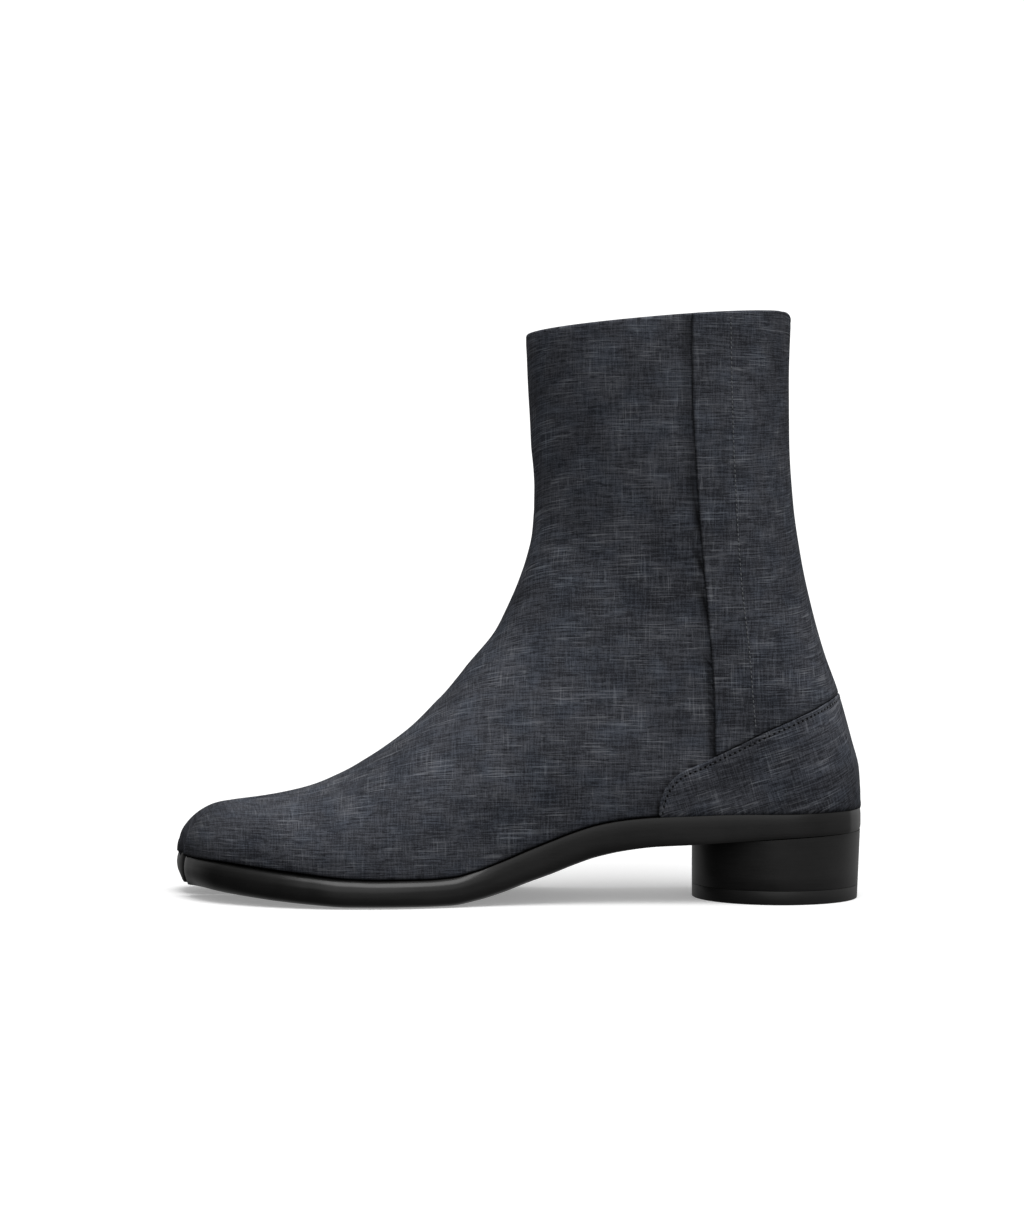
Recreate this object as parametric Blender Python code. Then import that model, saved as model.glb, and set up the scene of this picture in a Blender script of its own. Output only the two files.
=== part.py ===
"""Split-toe ankle boot (jika tabi) for the left foot, standing empty on its sole.

The toe points to -X, the outer side of the foot faces -Y and +Z is up. The origin is the
middle of the heel's tread, on the floor. Lengths are in metres.

The upper is a loft. Its sections stand upright across the foot, swing round the bend of
the instep and lie flat at the collar. Every layer of cloth is cut between two such forms.
"""
import math

import bmesh
import bpy
import numpy as np

# Main sizes
LENGTH = 0.2905
BALL_WIDTH = 0.0915
SHAFT_HEIGHT = 0.2087
HEEL_OVERHANG = 0.0365
TOE_SLANT = 0.22
TOE_SLANT_START = 0.66

# Sole and heel
SOLE_THICKNESS = 0.0113
SOLE_LIP = 0.0026
HEEL_HEIGHT = 0.0270
TOE_SPRING = 0.0050
EDGE_ROUND = 0.0036
TREAD_ROUND = 0.0080
TOE_UNDERCUT = 0.0045
HEEL_DIAMETER = 0.0695
TOP_PIECE = 0.0055
# Rounded back of the sole: its run as a share of HEEL_OVERHANG, the share of the breadth
# that its last edge keeps, and the share of LENGTH over which the lip sets in.
BACK_ROUND = 0.96
BACK_FLAT = 0.10
LIP_START = 0.03

# Layers
CLEARANCE = 0.0003
LAYER_GAP = 0.0004
PANEL_GAP = 0.0005
WALL = 0.0022
PANEL_THICKNESS = 0.0012
COUNTER_THICKNESS = 0.0014
INSOLE_THICKNESS = 0.0030

# Split between the toes
SPLIT_WIDTH = 0.0030
SPLIT_LENGTH = 0.0430
SPLIT_ROUND = 0.0090
SPLIT_TAPER = 0.0110
SPLIT_Y = 0.0030
SPLIT_EASE = 0.0010
# Levels of the split's walls, down from the top of the toes.
SPLIT_DROPS = (0.0200, 0.0130, 0.0090, 0.0055, 0.0030, 0.0014, 0.0004, 0.0, -0.0080)
# Stations of both splits from their front, as shares of their length.
SPLIT_STATIONS = (0.0, 0.04, 0.08, 0.12, 0.16, 0.20, 0.24, 0.32, 0.44, 0.56, 0.68, 0.80, 0.92, 1.0)
SOLE_SPLIT_WIDTH = 0.0022
SOLE_SPLIT_LENGTH = 0.0340

# How finely the forms are cut
RINGS = 44
SIDE_POINTS = 13
SOLE_STATIONS = 52
END_CROWDING = 0.55
HEEL_FACETS = 48
TOE_RINGS = RINGS // 3
OUTLINE_POINTS = 160
HIDDEN_DEPTH = 0.0060
COLLAR_SPARE = 0.0100
JOINED_FOOT = 0.0060
# Least half width of a cutter, and how far a cutter reaches past what it cuts.
HAIR = 0.0001
BEYOND = 0.0200
MERGE = 0.00002
SHARP_ANGLE = 35

# Plan of the last. x: from the heel's back to the toe, as a share of LENGTH. mid and half:
# centre line (+ towards the big toe) and half breadth, as shares of BALL_WIDTH.
PLAN = {
    "x": (0.0, 0.125, 0.195, 0.263, 0.332, 0.401, 0.470, 0.539, 0.601, 0.659, 0.711,
          0.762, 0.814, 0.866, 0.910, 0.940, 0.962, 0.977, 0.987, 0.9925),
    "mid": (0.0, 0.0, -0.005, -0.011, -0.020, -0.026, -0.025, -0.025, -0.030, -0.030,
            -0.027, -0.024, -0.016, -0.003, 0.016, 0.038, 0.061, 0.085, 0.104, 0.100),
    "half": (0.353, 0.352, 0.344, 0.334, 0.326, 0.327, 0.348, 0.386, 0.435, 0.479, 0.497,
             0.499, 0.481, 0.446, 0.399, 0.355, 0.308, 0.255, 0.180, 0.098),
}

# Sole from the side. rise and spring: lift of the tread as shares of HEEL_HEIGHT and
# TOE_SPRING. thick: upright thickness as a share of SOLE_THICKNESS.
SIDE = {
    "x": (0.0, 0.098, 0.201, 0.253, 0.305, 0.346, 0.387, 0.418, 0.453, 0.487, 0.522,
          0.557, 0.594, 0.628, 0.697, 0.735, 0.790, 0.842, 0.890, 0.938, 1.0),
    "rise": (1.080, 1.030, 0.955, 0.915, 0.885, 0.830, 0.735, 0.620, 0.470, 0.338, 0.193,
             0.080, 0.008, 0.0, 0.0, 0.0, 0.0, 0.0, 0.0, 0.0, 0.0),
    "spring": (0.0, 0.0, 0.0, 0.0, 0.0, 0.0, 0.0, 0.0, 0.0, 0.0, 0.0,
               0.0, 0.0, 0.0, 0.0, 0.0, 0.16, 0.38, 0.64, 0.88, 1.02),
    "thick": (0.79, 0.84, 1.00, 1.04, 1.06, 1.10, 1.14, 1.17, 1.19, 1.16, 1.14,
              1.08, 1.03, 1.00, 1.00, 1.04, 1.09, 1.12, 1.12, 1.12, 1.10),
}

# Sections of the last, from the toe to the collar. low and top: the two ends of a section,
# x as a share of LENGTH from the heel's back, h as a share of SHAFT_HEIGHT above the seat.
# half: greatest half breadth as a share of BALL_WIDTH. belly: where it lies between the
# ends. crown: how square the top is. back: run of the rounding at the heel's back, as a
# share of LENGTH.
SECTIONS = {
    "low_x": (0.9925, 0.987, 0.977, 0.962, 0.940, 0.910, 0.866, 0.814, 0.762, 0.711, 0.656,
              0.594, 0.525, 0.435, 0.339, 0.229, 0.139, 0.071, 0.033, 0.012, 0.0055,
              0.0051, 0.0072, 0.018, 0.036, 0.0592, 0.0772, 0.0912, 0.1036, 0.1090, 0.1096,
              0.1064),
    "low_h": (0.0, 0.0, 0.0, 0.0, 0.0, 0.0, 0.0, 0.0, 0.0, 0.0, 0.0,
              0.0, 0.0, 0.0, 0.0, 0.0, 0.0, 0.0, 0.0, 0.0, 0.0,
              0.034, 0.077, 0.136, 0.227, 0.319, 0.411, 0.502, 0.623, 0.746, 0.868,
              1.007),
    "top_x": (0.9925, 0.987, 0.977, 0.962, 0.940, 0.910, 0.866, 0.814, 0.762, 0.711, 0.659,
              0.614, 0.570, 0.533, 0.506, 0.488, 0.480, 0.4775, 0.4765, 0.4765, 0.4765,
              0.4765, 0.477, 0.478, 0.480, 0.4815, 0.483, 0.4845, 0.486, 0.487, 0.488,
              0.488),
    "top_h": (0.021, 0.044, 0.066, 0.087, 0.105, 0.117, 0.132, 0.155, 0.190, 0.235, 0.288,
              0.347, 0.391, 0.408, 0.448, 0.509, 0.557, 0.589, 0.609, 0.623, 0.637,
              0.652, 0.674, 0.700, 0.731, 0.767, 0.805, 0.839, 0.882, 0.918, 0.947,
              0.963),
    "half": (0.098, 0.180, 0.255, 0.310, 0.359, 0.405, 0.452, 0.488, 0.503, 0.495, 0.470,
             0.426, 0.383, 0.350, 0.339, 0.341, 0.346, 0.350, 0.352, 0.352, 0.352,
             0.352, 0.350, 0.348, 0.343, 0.339, 0.342, 0.350, 0.361, 0.372, 0.380,
             0.384),
    "belly": (0.20, 0.22, 0.24, 0.25, 0.25, 0.25, 0.25, 0.25, 0.25, 0.25, 0.26,
              0.28, 0.30, 0.32, 0.34, 0.36, 0.38, 0.39, 0.40, 0.41, 0.42,
              0.43, 0.44, 0.45, 0.45, 0.46, 0.46, 0.46, 0.46, 0.46, 0.46,
              0.46),
    "crown": (2.4, 2.3, 2.25, 2.2, 2.2, 2.2, 2.15, 2.1, 2.0, 1.95, 1.9,
              1.85, 1.85, 1.9, 1.95, 2.0, 2.0, 2.0, 2.0, 2.0, 2.0,
              2.0, 2.0, 2.0, 2.05, 2.1, 2.15, 2.2, 2.2, 2.25, 2.25,
              2.25),
    "back": (0.118, 0.118, 0.118, 0.118, 0.118, 0.118, 0.118, 0.118, 0.118, 0.118, 0.118,
             0.118, 0.118, 0.118, 0.118, 0.118, 0.118, 0.118, 0.118, 0.118, 0.118,
             0.120, 0.122, 0.128, 0.136, 0.145, 0.153, 0.160, 0.165, 0.168, 0.170,
             0.170),
}

# Edges of the overlays from the side. x: share of LENGTH from the heel's back. h: share of
# SHAFT_HEIGHT above the seat.
COUNTER_EDGE = {
    "x": (0.3005, 0.2995, 0.295, 0.284, 0.267, 0.244, 0.220, 0.183, 0.148, 0.110, 0.071,
          0.036, 0.004),
    "h": (-0.06, 0.012, 0.039, 0.064, 0.084, 0.098, 0.114, 0.139, 0.163, 0.186, 0.210,
          0.234, 0.258),
}
PANEL_EDGE = {
    "x": (0.218, 0.220, 0.2225, 0.227, 0.232, 0.237, 0.242, 0.249, 0.254, 0.255),
    "h": (-0.02, 0.116, 0.255, 0.336, 0.417, 0.498, 0.580, 0.714, 0.848, 1.100),
}

# Side of the sole, from its tread to its seat. level: share of the thickness. tread, toe
# and seat: share of each rounding that the edge is drawn in by.
SOLE_EDGE = {
    "level": (0.0, 0.05, 0.11, 0.22, 0.40, 0.60, 0.78, 0.92, 1.0),
    "tread": (1.0, 0.50, 0.22, 0.05, 0.0, 0.0, 0.0, 0.0, 0.0),
    "toe": (1.0, 0.93, 0.84, 0.66, 0.34, 0.0, 0.0, 0.0, 0.0),
    "seat": (0.0, 0.0, 0.0, 0.0, 0.0, 0.02, 0.20, 0.58, 1.0),
}
# Strength of the three roundings and of the lip along the sole, x as in PLAN.
SOLE_ROUNDS = {
    "x": (0.0, 0.25, 0.42, 0.60, 0.80, 0.93, 0.975, 1.0),
    "tread": (0.05, 0.05, 0.35, 0.90, 1.0, 0.60, 0.30, 0.30),
    "toe": (0.0, 0.0, 0.0, 0.0, 0.10, 0.45, 1.0, 1.0),
    "seat": (0.25, 0.25, 0.50, 0.95, 1.0, 0.90, 0.75, 0.70),
    "lip": (1.0, 1.0, 1.0, 1.0, 1.0, 0.85, 0.35, 0.20),
}

CLOTH_COLOUR = (0.030, 0.034, 0.042, 1.0)
PANEL_COLOUR = (0.027, 0.031, 0.039, 1.0)
COUNTER_COLOUR = (0.024, 0.027, 0.034, 1.0)
LEATHER_COLOUR = (0.012, 0.012, 0.013, 1.0)
LINING_COLOUR = (0.060, 0.058, 0.055, 1.0)
LEATHER_ROUGHNESS = 0.35
CLOTH_ROUGHNESS = 0.9


def smooth(at, places, values):
    """Read a smooth curve through the values, with no overshoot between two of them."""
    places = np.asarray(places, float)
    values = np.asarray(values, float)
    at = np.clip(np.asarray(at, float), places.min(), places.max())
    run = np.diff(places)
    slope = np.diff(values) / run
    before, after = slope[:-1], slope[1:]
    same_way = before * after > 0
    total = np.where(same_way, before + after, 1.0)
    tangent = np.concatenate((slope[:1], np.where(same_way, 2 * before * after / total, 0), slope[-1:]))
    piece = np.clip(np.searchsorted(places, at, side="right") - 1, 0, len(run) - 1)
    step = run[piece]
    t = (at - places[piece]) / step
    return (values[piece] * (1 + 2 * t) * (1 - t) ** 2 + tangent[piece] * step * t * (1 - t) ** 2
            + values[piece + 1] * t * t * (3 - 2 * t) + tangent[piece + 1] * step * t * t * (t - 1))


def place_x(share):
    """Place along the boot of a share of LENGTH measured from the heel's back."""
    return HEEL_OVERHANG - np.asarray(share, float) * LENGTH


def share_x(x):
    return (HEEL_OVERHANG - np.asarray(x, float)) / LENGTH


def tread_height(x):
    share = share_x(x)
    return (smooth(share, SIDE["x"], SIDE["rise"]) * HEEL_HEIGHT
            + smooth(share, SIDE["x"], SIDE["spring"]) * TOE_SPRING)


def seat_height(x):
    """Height of the sole's top, on which the upper and the insole stand."""
    return tread_height(x) + smooth(share_x(x), SIDE["x"], SIDE["thick"]) * SOLE_THICKNESS


def plan(x, column):
    return smooth(share_x(x), PLAN["x"], PLAN[column]) * BALL_WIDTH


def slant(x, y):
    """The front of the foot runs back from the big toe to the outer side."""
    strength = np.clip((share_x(x) - TOE_SLANT_START) / (1 - TOE_SLANT_START), 0, 1)
    return x - TOE_SLANT * y * strength * strength * (3 - 2 * strength)


def rounding(distance, run):
    """Quarter circle from 0 at the edge to 1 at the run."""
    return np.sqrt(np.clip(1 - (1 - np.clip(distance / run, 0, 1)) ** 2, 0, 1))


def section_columns(count):
    """Read the table of sections at evenly spread places, in metres."""
    rows = len(SECTIONS["low_x"])
    at = np.linspace(0, rows - 1, count)
    read = {name: smooth(at, np.arange(rows), column) for name, column in SECTIONS.items()}
    low_x, top_x = place_x(read["low_x"]), place_x(read["top_x"])
    seat = seat_height(low_x)
    first_lift = next(h for h in SECTIONS["low_h"] if h > 0)
    sunk = HIDDEN_DEPTH * np.clip(1 - read["low_h"] / first_lift, 0, 1)
    low = np.stack((low_x, seat + read["low_h"] * SHAFT_HEIGHT - sunk), 1)
    top = np.stack((top_x, seat + read["top_h"] * SHAFT_HEIGHT), 1)
    return low, top, read["half"] * BALL_WIDTH, read["belly"], read["crown"], read["back"] * LENGTH


def back_place(height):
    """Place of the heel's back at a height, read from the sections that end on it."""
    rows = [i for i, h in enumerate(SECTIONS["low_h"]) if h > 0]
    x = place_x([SECTIONS["low_x"][i] for i in rows])
    z = seat_height(x) + np.array([SECTIONS["low_h"][i] for i in rows]) * SHAFT_HEIGHT
    return smooth(height, z, x)


def last_form(count, points):
    """Closed rings of the last: up the outer side from the sole, and down the inner side."""
    low, top, half, belly, crown, back = section_columns(count)
    v = (1 - np.cos(np.linspace(0, math.pi, points))) / 2
    x = low[:, :1] + (top - low)[:, :1] * v
    z = low[:, 1:] + (top - low)[:, 1:] * v
    feather = plan(low[:, 0], "half")[:, None]
    up = np.clip(v / belly[:, None], 0, 1)
    base = feather + (half[:, None] - feather) * up * up * (3 - 2 * up)
    over = np.clip((v - belly[:, None]) / (1 - belly[:, None]), 0, 1)
    crown = crown[:, None]
    width = base * np.clip(1 - over ** crown, 0, 1) ** (1 / crown)
    width = width * rounding(back_place(z) - x, back[:, None])
    width[:, -1] = 0
    mid = plan(low[:, 0], "mid")[:, None] * np.ones_like(v)
    outer = np.stack((slant(x, mid - width), mid - width, z), 2)
    inner = np.stack((slant(x, mid + width), mid + width, z), 2)
    return np.concatenate((outer, inner[:, -2::-1]), 1)


def grown(rings, distance):
    """Move every point of the form along its normal."""
    along = np.gradient(rings, axis=0)
    around = np.roll(rings, -1, 1) - np.roll(rings, 1, 1)
    flat = np.linalg.norm(rings[:, 0] - rings[:, -1], axis=1)[:, None]
    open_share = np.clip(flat / JOINED_FOOT, 0, 1)
    around[:, 0] = rings[:, 1] - (rings[:, 0] * open_share + rings[:, -2] * (1 - open_share))
    around[:, -1] = (rings[:, -1] * open_share + rings[:, 1] * (1 - open_share)) - rings[:, -2]
    normal = np.cross(along, around)
    normal /= np.maximum(np.linalg.norm(normal, axis=2, keepdims=True), 1e-12)
    return rings + normal * distance


def mesh_object(name, vertices, faces, group, colour=None):
    mesh = bpy.data.meshes.new(name)
    mesh.from_pydata([tuple(map(float, v)) for v in vertices], [], faces)
    work = bmesh.new()
    work.from_mesh(mesh)
    bmesh.ops.remove_doubles(work, verts=work.verts, dist=MERGE)
    bmesh.ops.dissolve_degenerate(work, edges=work.edges, dist=MERGE / 2)
    bmesh.ops.recalc_face_normals(work, faces=work.faces)
    work.to_mesh(mesh)
    work.free()
    mesh.shade_smooth()
    mesh.set_sharp_from_angle(angle=math.radians(SHARP_ANGLE))
    thing = bpy.data.objects.new(name, mesh)
    group.objects.link(thing)
    if colour:
        mesh.materials.append(plain_material(name, colour))
    else:
        thing.hide_render = True
        thing.display_type = "WIRE"
    return thing


def plain_material(name, colour):
    material = bpy.data.materials.new(name)
    material.use_nodes = True
    shader = material.node_tree.nodes["Principled BSDF"]
    shader.inputs["Base Color"].default_value = colour
    smooth_leather = colour == LEATHER_COLOUR
    shader.inputs["Roughness"].default_value = LEATHER_ROUGHNESS if smooth_leather else CLOTH_ROUGHNESS
    shader.inputs["Metallic"].default_value = 0.0
    return material


def tube_faces(count, size):
    """Quads between rings of one size, and a cap on each end."""
    faces = [tuple(range(size)), tuple(range((count - 1) * size, count * size))]
    for i in range(count - 1):
        for j in range(size):
            k = (j + 1) % size
            faces.append((i * size + j, i * size + k, (i + 1) * size + k, (i + 1) * size + j))
    return faces


def loft(name, rings, group, colour=None):
    count, size = rings.shape[:2]
    return mesh_object(name, rings.reshape(-1, 3), tube_faces(count, size), group, colour)


def with_spare_collar(rings):
    """Carry the form on above the collar, so that it cuts right through."""
    over = rings[-1:] + np.array((0.0, 0.0, COLLAR_SPARE))
    return np.concatenate((rings, over))


def side_prism(name, outline, group):
    """Upright plate of a side outline, wide enough to cut through both sides."""
    reach = BALL_WIDTH
    rings = np.array([[(x, y, z) for x, z in outline] for y in (-reach, reach)])
    return loft(name, rings, group)


def split_blade(name, grow, group):
    """Form of the split between the toes, wider and deeper by grow for the inside."""
    low, top = section_columns(RINGS)[:2]
    toe_top = top[:TOE_RINGS]
    edge = np.concatenate(([low[0]], toe_top))
    finer = np.linspace(0, len(edge) - 1, OUTLINE_POINTS)
    edge = np.stack([np.interp(finer, np.arange(len(edge)), edge[:, k]) for k in (0, 1)], 1)
    front = low[0, 0]
    root = front + SPLIT_LENGTH + grow
    stations = np.concatenate(([front - BEYOND], front + np.array(SPLIT_STATIONS) * (root - front)))
    rings = []
    for x in stations:
        roof = np.interp(x, toe_top[:, 0], toe_top[:, 1])
        levels = np.concatenate(([-BEYOND], roof - np.array(SPLIT_DROPS)))
        depth = np.array([np.hypot(*(edge - (x, z)).T).min() for z in levels])
        depth = np.where((levels < roof) & (x > front), depth, 0.0)
        fade = float(rounding(root - x, SPLIT_TAPER))
        radius = SPLIT_ROUND * fade
        arc = np.sqrt(np.clip((radius - grow) ** 2 - np.clip(radius - depth, 0, None) ** 2, 0, None))
        half = SPLIT_WIDTH / 2 * fade + radius - np.where(radius > grow, arc, 0.0) + HAIR
        left = [(slant(x, SPLIT_Y - h), SPLIT_Y - h, z) for h, z in zip(half, levels)]
        right = [(slant(x, SPLIT_Y + h), SPLIT_Y + h, z) for h, z in zip(half, levels)]
        rings.append(left + right[::-1])
    return loft(name, np.array(rings), group)


def sole_blade(name, group):
    """Split of the sole, with the two front corners rounded."""
    front = float(place_x(PLAN["x"][-1]))
    root = front + SOLE_SPLIT_LENGTH
    stations = np.concatenate(([front - BEYOND], front + np.array(SPLIT_STATIONS) * SOLE_SPLIT_LENGTH))
    rings = []
    for x in stations:
        half = SOLE_SPLIT_WIDTH / 2 * float(rounding(root - x, SPLIT_TAPER)) + HAIR
        half += SPLIT_ROUND * (1 - float(rounding(x - front, SPLIT_ROUND)))
        left, right = SPLIT_Y - half, SPLIT_Y + half
        low, high = -BEYOND, HEEL_HEIGHT + BEYOND
        rings.append([(slant(x, left), left, z) for z in (low, high)]
                     + [(slant(x, right), right, z) for z in (high, low)])
    return loft(name, np.array(rings), group)


def cut(thing, cutter, operation="DIFFERENCE"):
    modifier = thing.modifiers.new(cutter.name, "BOOLEAN")
    modifier.operation = operation
    modifier.object = cutter
    modifier.solver = "EXACT"


def sole_stations():
    """Places along the sole, closer together where its outline turns in at the two ends."""
    turn = np.linspace(0, math.pi, SOLE_STATIONS)
    share = (1 - np.cos(turn)) / 2 * END_CROWDING + turn / math.pi * (1 - END_CROWDING)
    return place_x(share * PLAN["x"][-1])


def side_outline(lift, below):
    """Outline of all that lies under (or over) the seat raised by lift."""
    x = sole_stations()[1:-1]
    x = np.concatenate(([HEEL_OVERHANG + BEYOND], x, [place_x(1.0) - BEYOND]))
    line = np.stack((x, seat_height(x) + lift), 1)
    far = -BEYOND if below else SHAFT_HEIGHT * 2
    return [tuple(p) for p in line] + [(x[-1], far), (x[0], far)]


def edge_line(table):
    x = place_x(table["x"])
    return [(px, float(seat_height(0.0)) + h * SHAFT_HEIGHT) for px, h in zip(x, table["h"])]


def make_upper(parts, cutters, rings):
    upper = loft("upper", rings, parts, CLOTH_COLOUR)
    hollow = loft("upper_hollow", with_spare_collar(grown(rings, -WALL)), cutters)
    cut(hollow, split_blade("split_inside", WALL, cutters))
    under = side_prism("under_upper", side_outline(CLEARANCE, True), cutters)
    cut(upper, split_blade("split_outside", 0.0, cutters))
    cut(upper, hollow)
    cut(upper, under)


def make_insole(parts, cutters, rings):
    insole = loft("insole", grown(rings, -WALL - CLEARANCE), parts, LINING_COLOUR)
    under = side_prism("under_insole", side_outline(CLEARANCE, True), cutters)
    over = side_prism("over_insole", side_outline(CLEARANCE + INSOLE_THICKNESS, False), cutters)
    cut(insole, split_blade("split_insole", WALL + SPLIT_EASE, cutters))
    cut(insole, under)
    cut(insole, over)


def make_overlays(parts, cutters, rings):
    """Rear panel and heel counter, each cut between two forms larger than the upper."""
    skin = loft("upper_skin", with_spare_collar(grown(rings, LAYER_GAP)), cutters)
    counter_edge, panel_edge = edge_line(COUNTER_EDGE), edge_line(PANEL_EDGE)
    behind = HEEL_OVERHANG + BEYOND
    under = side_prism("under_counter", side_outline(CLEARANCE, True), cutters)
    counter_side = side_prism("counter_side", counter_edge + [(behind, counter_edge[-1][1]),
                                                              (behind, counter_edge[0][1])], cutters)
    counter_room = [(x, z + PANEL_GAP) for x, z in counter_edge]
    panel_side = side_prism("panel_side", panel_edge + [(behind, panel_edge[-1][1]),
                                                        (behind, panel_edge[0][1])], cutters)
    over_counter = side_prism("over_counter", counter_room + [(behind, counter_room[-1][1]),
                                                              (behind, -BEYOND),
                                                              (counter_room[0][0], -BEYOND)], cutters)
    panel = loft("rear_panel", grown(rings, LAYER_GAP + PANEL_THICKNESS), parts, PANEL_COLOUR)
    cut(panel, skin)
    cut(panel, panel_side, "INTERSECT")
    cut(panel, over_counter)
    counter = loft("heel_counter", grown(rings, LAYER_GAP + COUNTER_THICKNESS), parts, COUNTER_COLOUR)
    cut(counter, skin)
    cut(counter, counter_side, "INTERSECT")
    cut(counter, under)


def make_outsole(parts, cutters):
    """Leather sole: one outline drawn in by the roundings of its edge at each level."""
    x = sole_stations()
    back = rounding(HEEL_OVERHANG - x, HEEL_OVERHANG * BACK_ROUND)
    back[0] = BACK_FLAT
    half = plan(x, "half") * back
    mid = plan(x, "mid")
    outer = np.stack((slant(x, mid - half), mid - half), 1)
    inner = np.stack((slant(x, mid + half), mid + half), 1)
    outline = np.concatenate((outer, inner[::-1]))
    tangent = np.roll(outline, -1, 0) - np.roll(outline, 1, 0)
    normal = np.stack((tangent[:, 1], -tangent[:, 0]), 1)
    normal /= np.linalg.norm(normal, axis=1)[:, None]
    if (normal * (outline - outline.mean(0))).sum() < 0:
        normal = -normal
    share = share_x(outline[:, 0])
    fullness = np.clip((share_x(np.concatenate((x, x[::-1])))) / LIP_START, 0, 1)
    full = {name: smooth(share, SOLE_ROUNDS["x"], SOLE_ROUNDS[name]) for name in SOLE_ROUNDS}
    rings = []
    for level, tread_in, toe_in, seat_in in zip(*SOLE_EDGE.values()):
        out = (SOLE_LIP * full["lip"] * fullness - tread_in * full["tread"] * TREAD_ROUND
               - toe_in * full["toe"] * TOE_UNDERCUT - seat_in * full["seat"] * EDGE_ROUND)
        edge = outline + normal * out[:, None]
        tread, seat = tread_height(edge[:, 0]), seat_height(edge[:, 0])
        rings.append(np.column_stack((edge, tread + (seat - tread) * level)))
    rings = np.array(rings)
    count, size = rings.shape[:2]
    faces = tube_faces(count, size)[2:]
    for ring in (0, (count - 1) * size):
        for i in range(size // 2 - 1):
            faces.append((ring + i, ring + i + 1, ring + size - 2 - i, ring + size - 1 - i))
    outsole = mesh_object("outsole", rings.reshape(-1, 3), faces, parts, LEATHER_COLOUR)
    cut(outsole, sole_blade("split_sole", cutters))


def turned(name, radius, low, high, group, colour):
    mesh = bpy.data.meshes.new(name)
    work = bmesh.new()
    bmesh.ops.create_cone(work, cap_ends=True, segments=HEEL_FACETS, radius1=radius, radius2=radius,
                          depth=high - low)
    bmesh.ops.translate(work, verts=work.verts, vec=(0, 0, (low + high) / 2))
    work.to_mesh(mesh)
    work.free()
    mesh.shade_smooth()
    mesh.set_sharp_from_angle(angle=math.radians(SHARP_ANGLE))
    mesh.materials.append(plain_material(name, colour))
    thing = bpy.data.objects.new(name, mesh)
    group.objects.link(thing)
    return thing


def make_heel(parts, cutters):
    """Round stack of leather lifts, cut to the slope of the sole, on its top piece."""
    radius = HEEL_DIAMETER / 2
    turned("heel_top_piece", radius, 0.0, TOP_PIECE, parts, LEATHER_COLOUR)
    heel = turned("heel", radius, TOP_PIECE + CLEARANCE, HEEL_HEIGHT + SOLE_THICKNESS, parts, LEATHER_COLOUR)
    x = sole_stations()[1:-1]
    x = np.concatenate(([HEEL_OVERHANG + BEYOND], x, [place_x(1.0)]))
    line = [(px, float(tread_height(px)) - CLEARANCE) for px in x]
    high = HEEL_HEIGHT + SOLE_THICKNESS + BEYOND
    over = side_prism("over_heel", line + [(x[-1], high), (x[0], high)], cutters)
    cut(heel, over)


def collection(name):
    group = bpy.data.collections.new(name)
    bpy.context.scene.collection.children.link(group)
    return group


def main():
    for thing in list(bpy.data.objects):
        bpy.data.objects.remove(thing, do_unlink=True)
    parts = collection("split_toe_boot")
    cutters = collection("cutters")
    rings = last_form(RINGS, SIDE_POINTS)
    make_upper(parts, cutters, rings)
    make_insole(parts, cutters, rings)
    make_overlays(parts, cutters, rings)
    make_outsole(parts, cutters)
    make_heel(parts, cutters)


main()
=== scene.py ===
"""Looks of the split-toe ankle boot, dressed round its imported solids.

The toe points to -X, the outer side of the foot faces -Y and the floor is at Z = 0. Every
layer of cloth and leather is drawn again from the sizes of its solid, finely enough for
rounded edges, seams and soft folds. Lengths are in metres.
"""
import math

import bmesh
import bpy
import numpy as np
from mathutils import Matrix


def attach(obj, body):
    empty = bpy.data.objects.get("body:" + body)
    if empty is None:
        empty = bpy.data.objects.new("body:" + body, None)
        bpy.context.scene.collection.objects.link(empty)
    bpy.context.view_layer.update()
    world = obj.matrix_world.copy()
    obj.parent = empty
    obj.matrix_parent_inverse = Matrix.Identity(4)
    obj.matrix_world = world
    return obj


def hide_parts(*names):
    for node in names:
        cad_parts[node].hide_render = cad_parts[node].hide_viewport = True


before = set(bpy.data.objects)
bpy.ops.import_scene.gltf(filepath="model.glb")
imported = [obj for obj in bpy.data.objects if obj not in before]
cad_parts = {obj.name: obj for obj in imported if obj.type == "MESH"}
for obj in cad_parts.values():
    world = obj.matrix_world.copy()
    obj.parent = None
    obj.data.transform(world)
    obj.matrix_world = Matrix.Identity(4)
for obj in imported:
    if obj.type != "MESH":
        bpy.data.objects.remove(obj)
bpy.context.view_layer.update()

MM = 0.001

# Sizes of the boot, as in the source of its solids
LENGTH = 0.2905
BALL_WIDTH = 0.0915
SHAFT_HEIGHT = 0.2087
HEEL_OVERHANG = 0.0365
TOE_SLANT = 0.22
TOE_SLANT_START = 0.66
SOLE_THICKNESS = 0.0113
SOLE_LIP = 0.0026
HEEL_HEIGHT = 0.0270
TOE_SPRING = 0.0050
EDGE_ROUND = 0.0036
TREAD_ROUND = 0.0080
TOE_UNDERCUT = 0.0045
HEEL_DIAMETER = 0.0695
TOP_PIECE = 0.0055
CLEARANCE = 0.0003
LAYER_GAP = 0.0004
WALL = 0.0022
PANEL_THICKNESS = 0.0012
COUNTER_THICKNESS = 0.0014
INSOLE_THICKNESS = 0.0030
SPLIT_WIDTH = 0.0030
SPLIT_LENGTH = 0.0430
SPLIT_ROUND = 0.0090
SPLIT_TAPER = 0.0110
SPLIT_Y = 0.0030
SOLE_SPLIT_WIDTH = 0.0022
SOLE_SPLIT_LENGTH = 0.0340
HIDDEN_DEPTH = 0.0060
BACK_ROUND = 0.96
BACK_FLAT = 0.10

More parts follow.
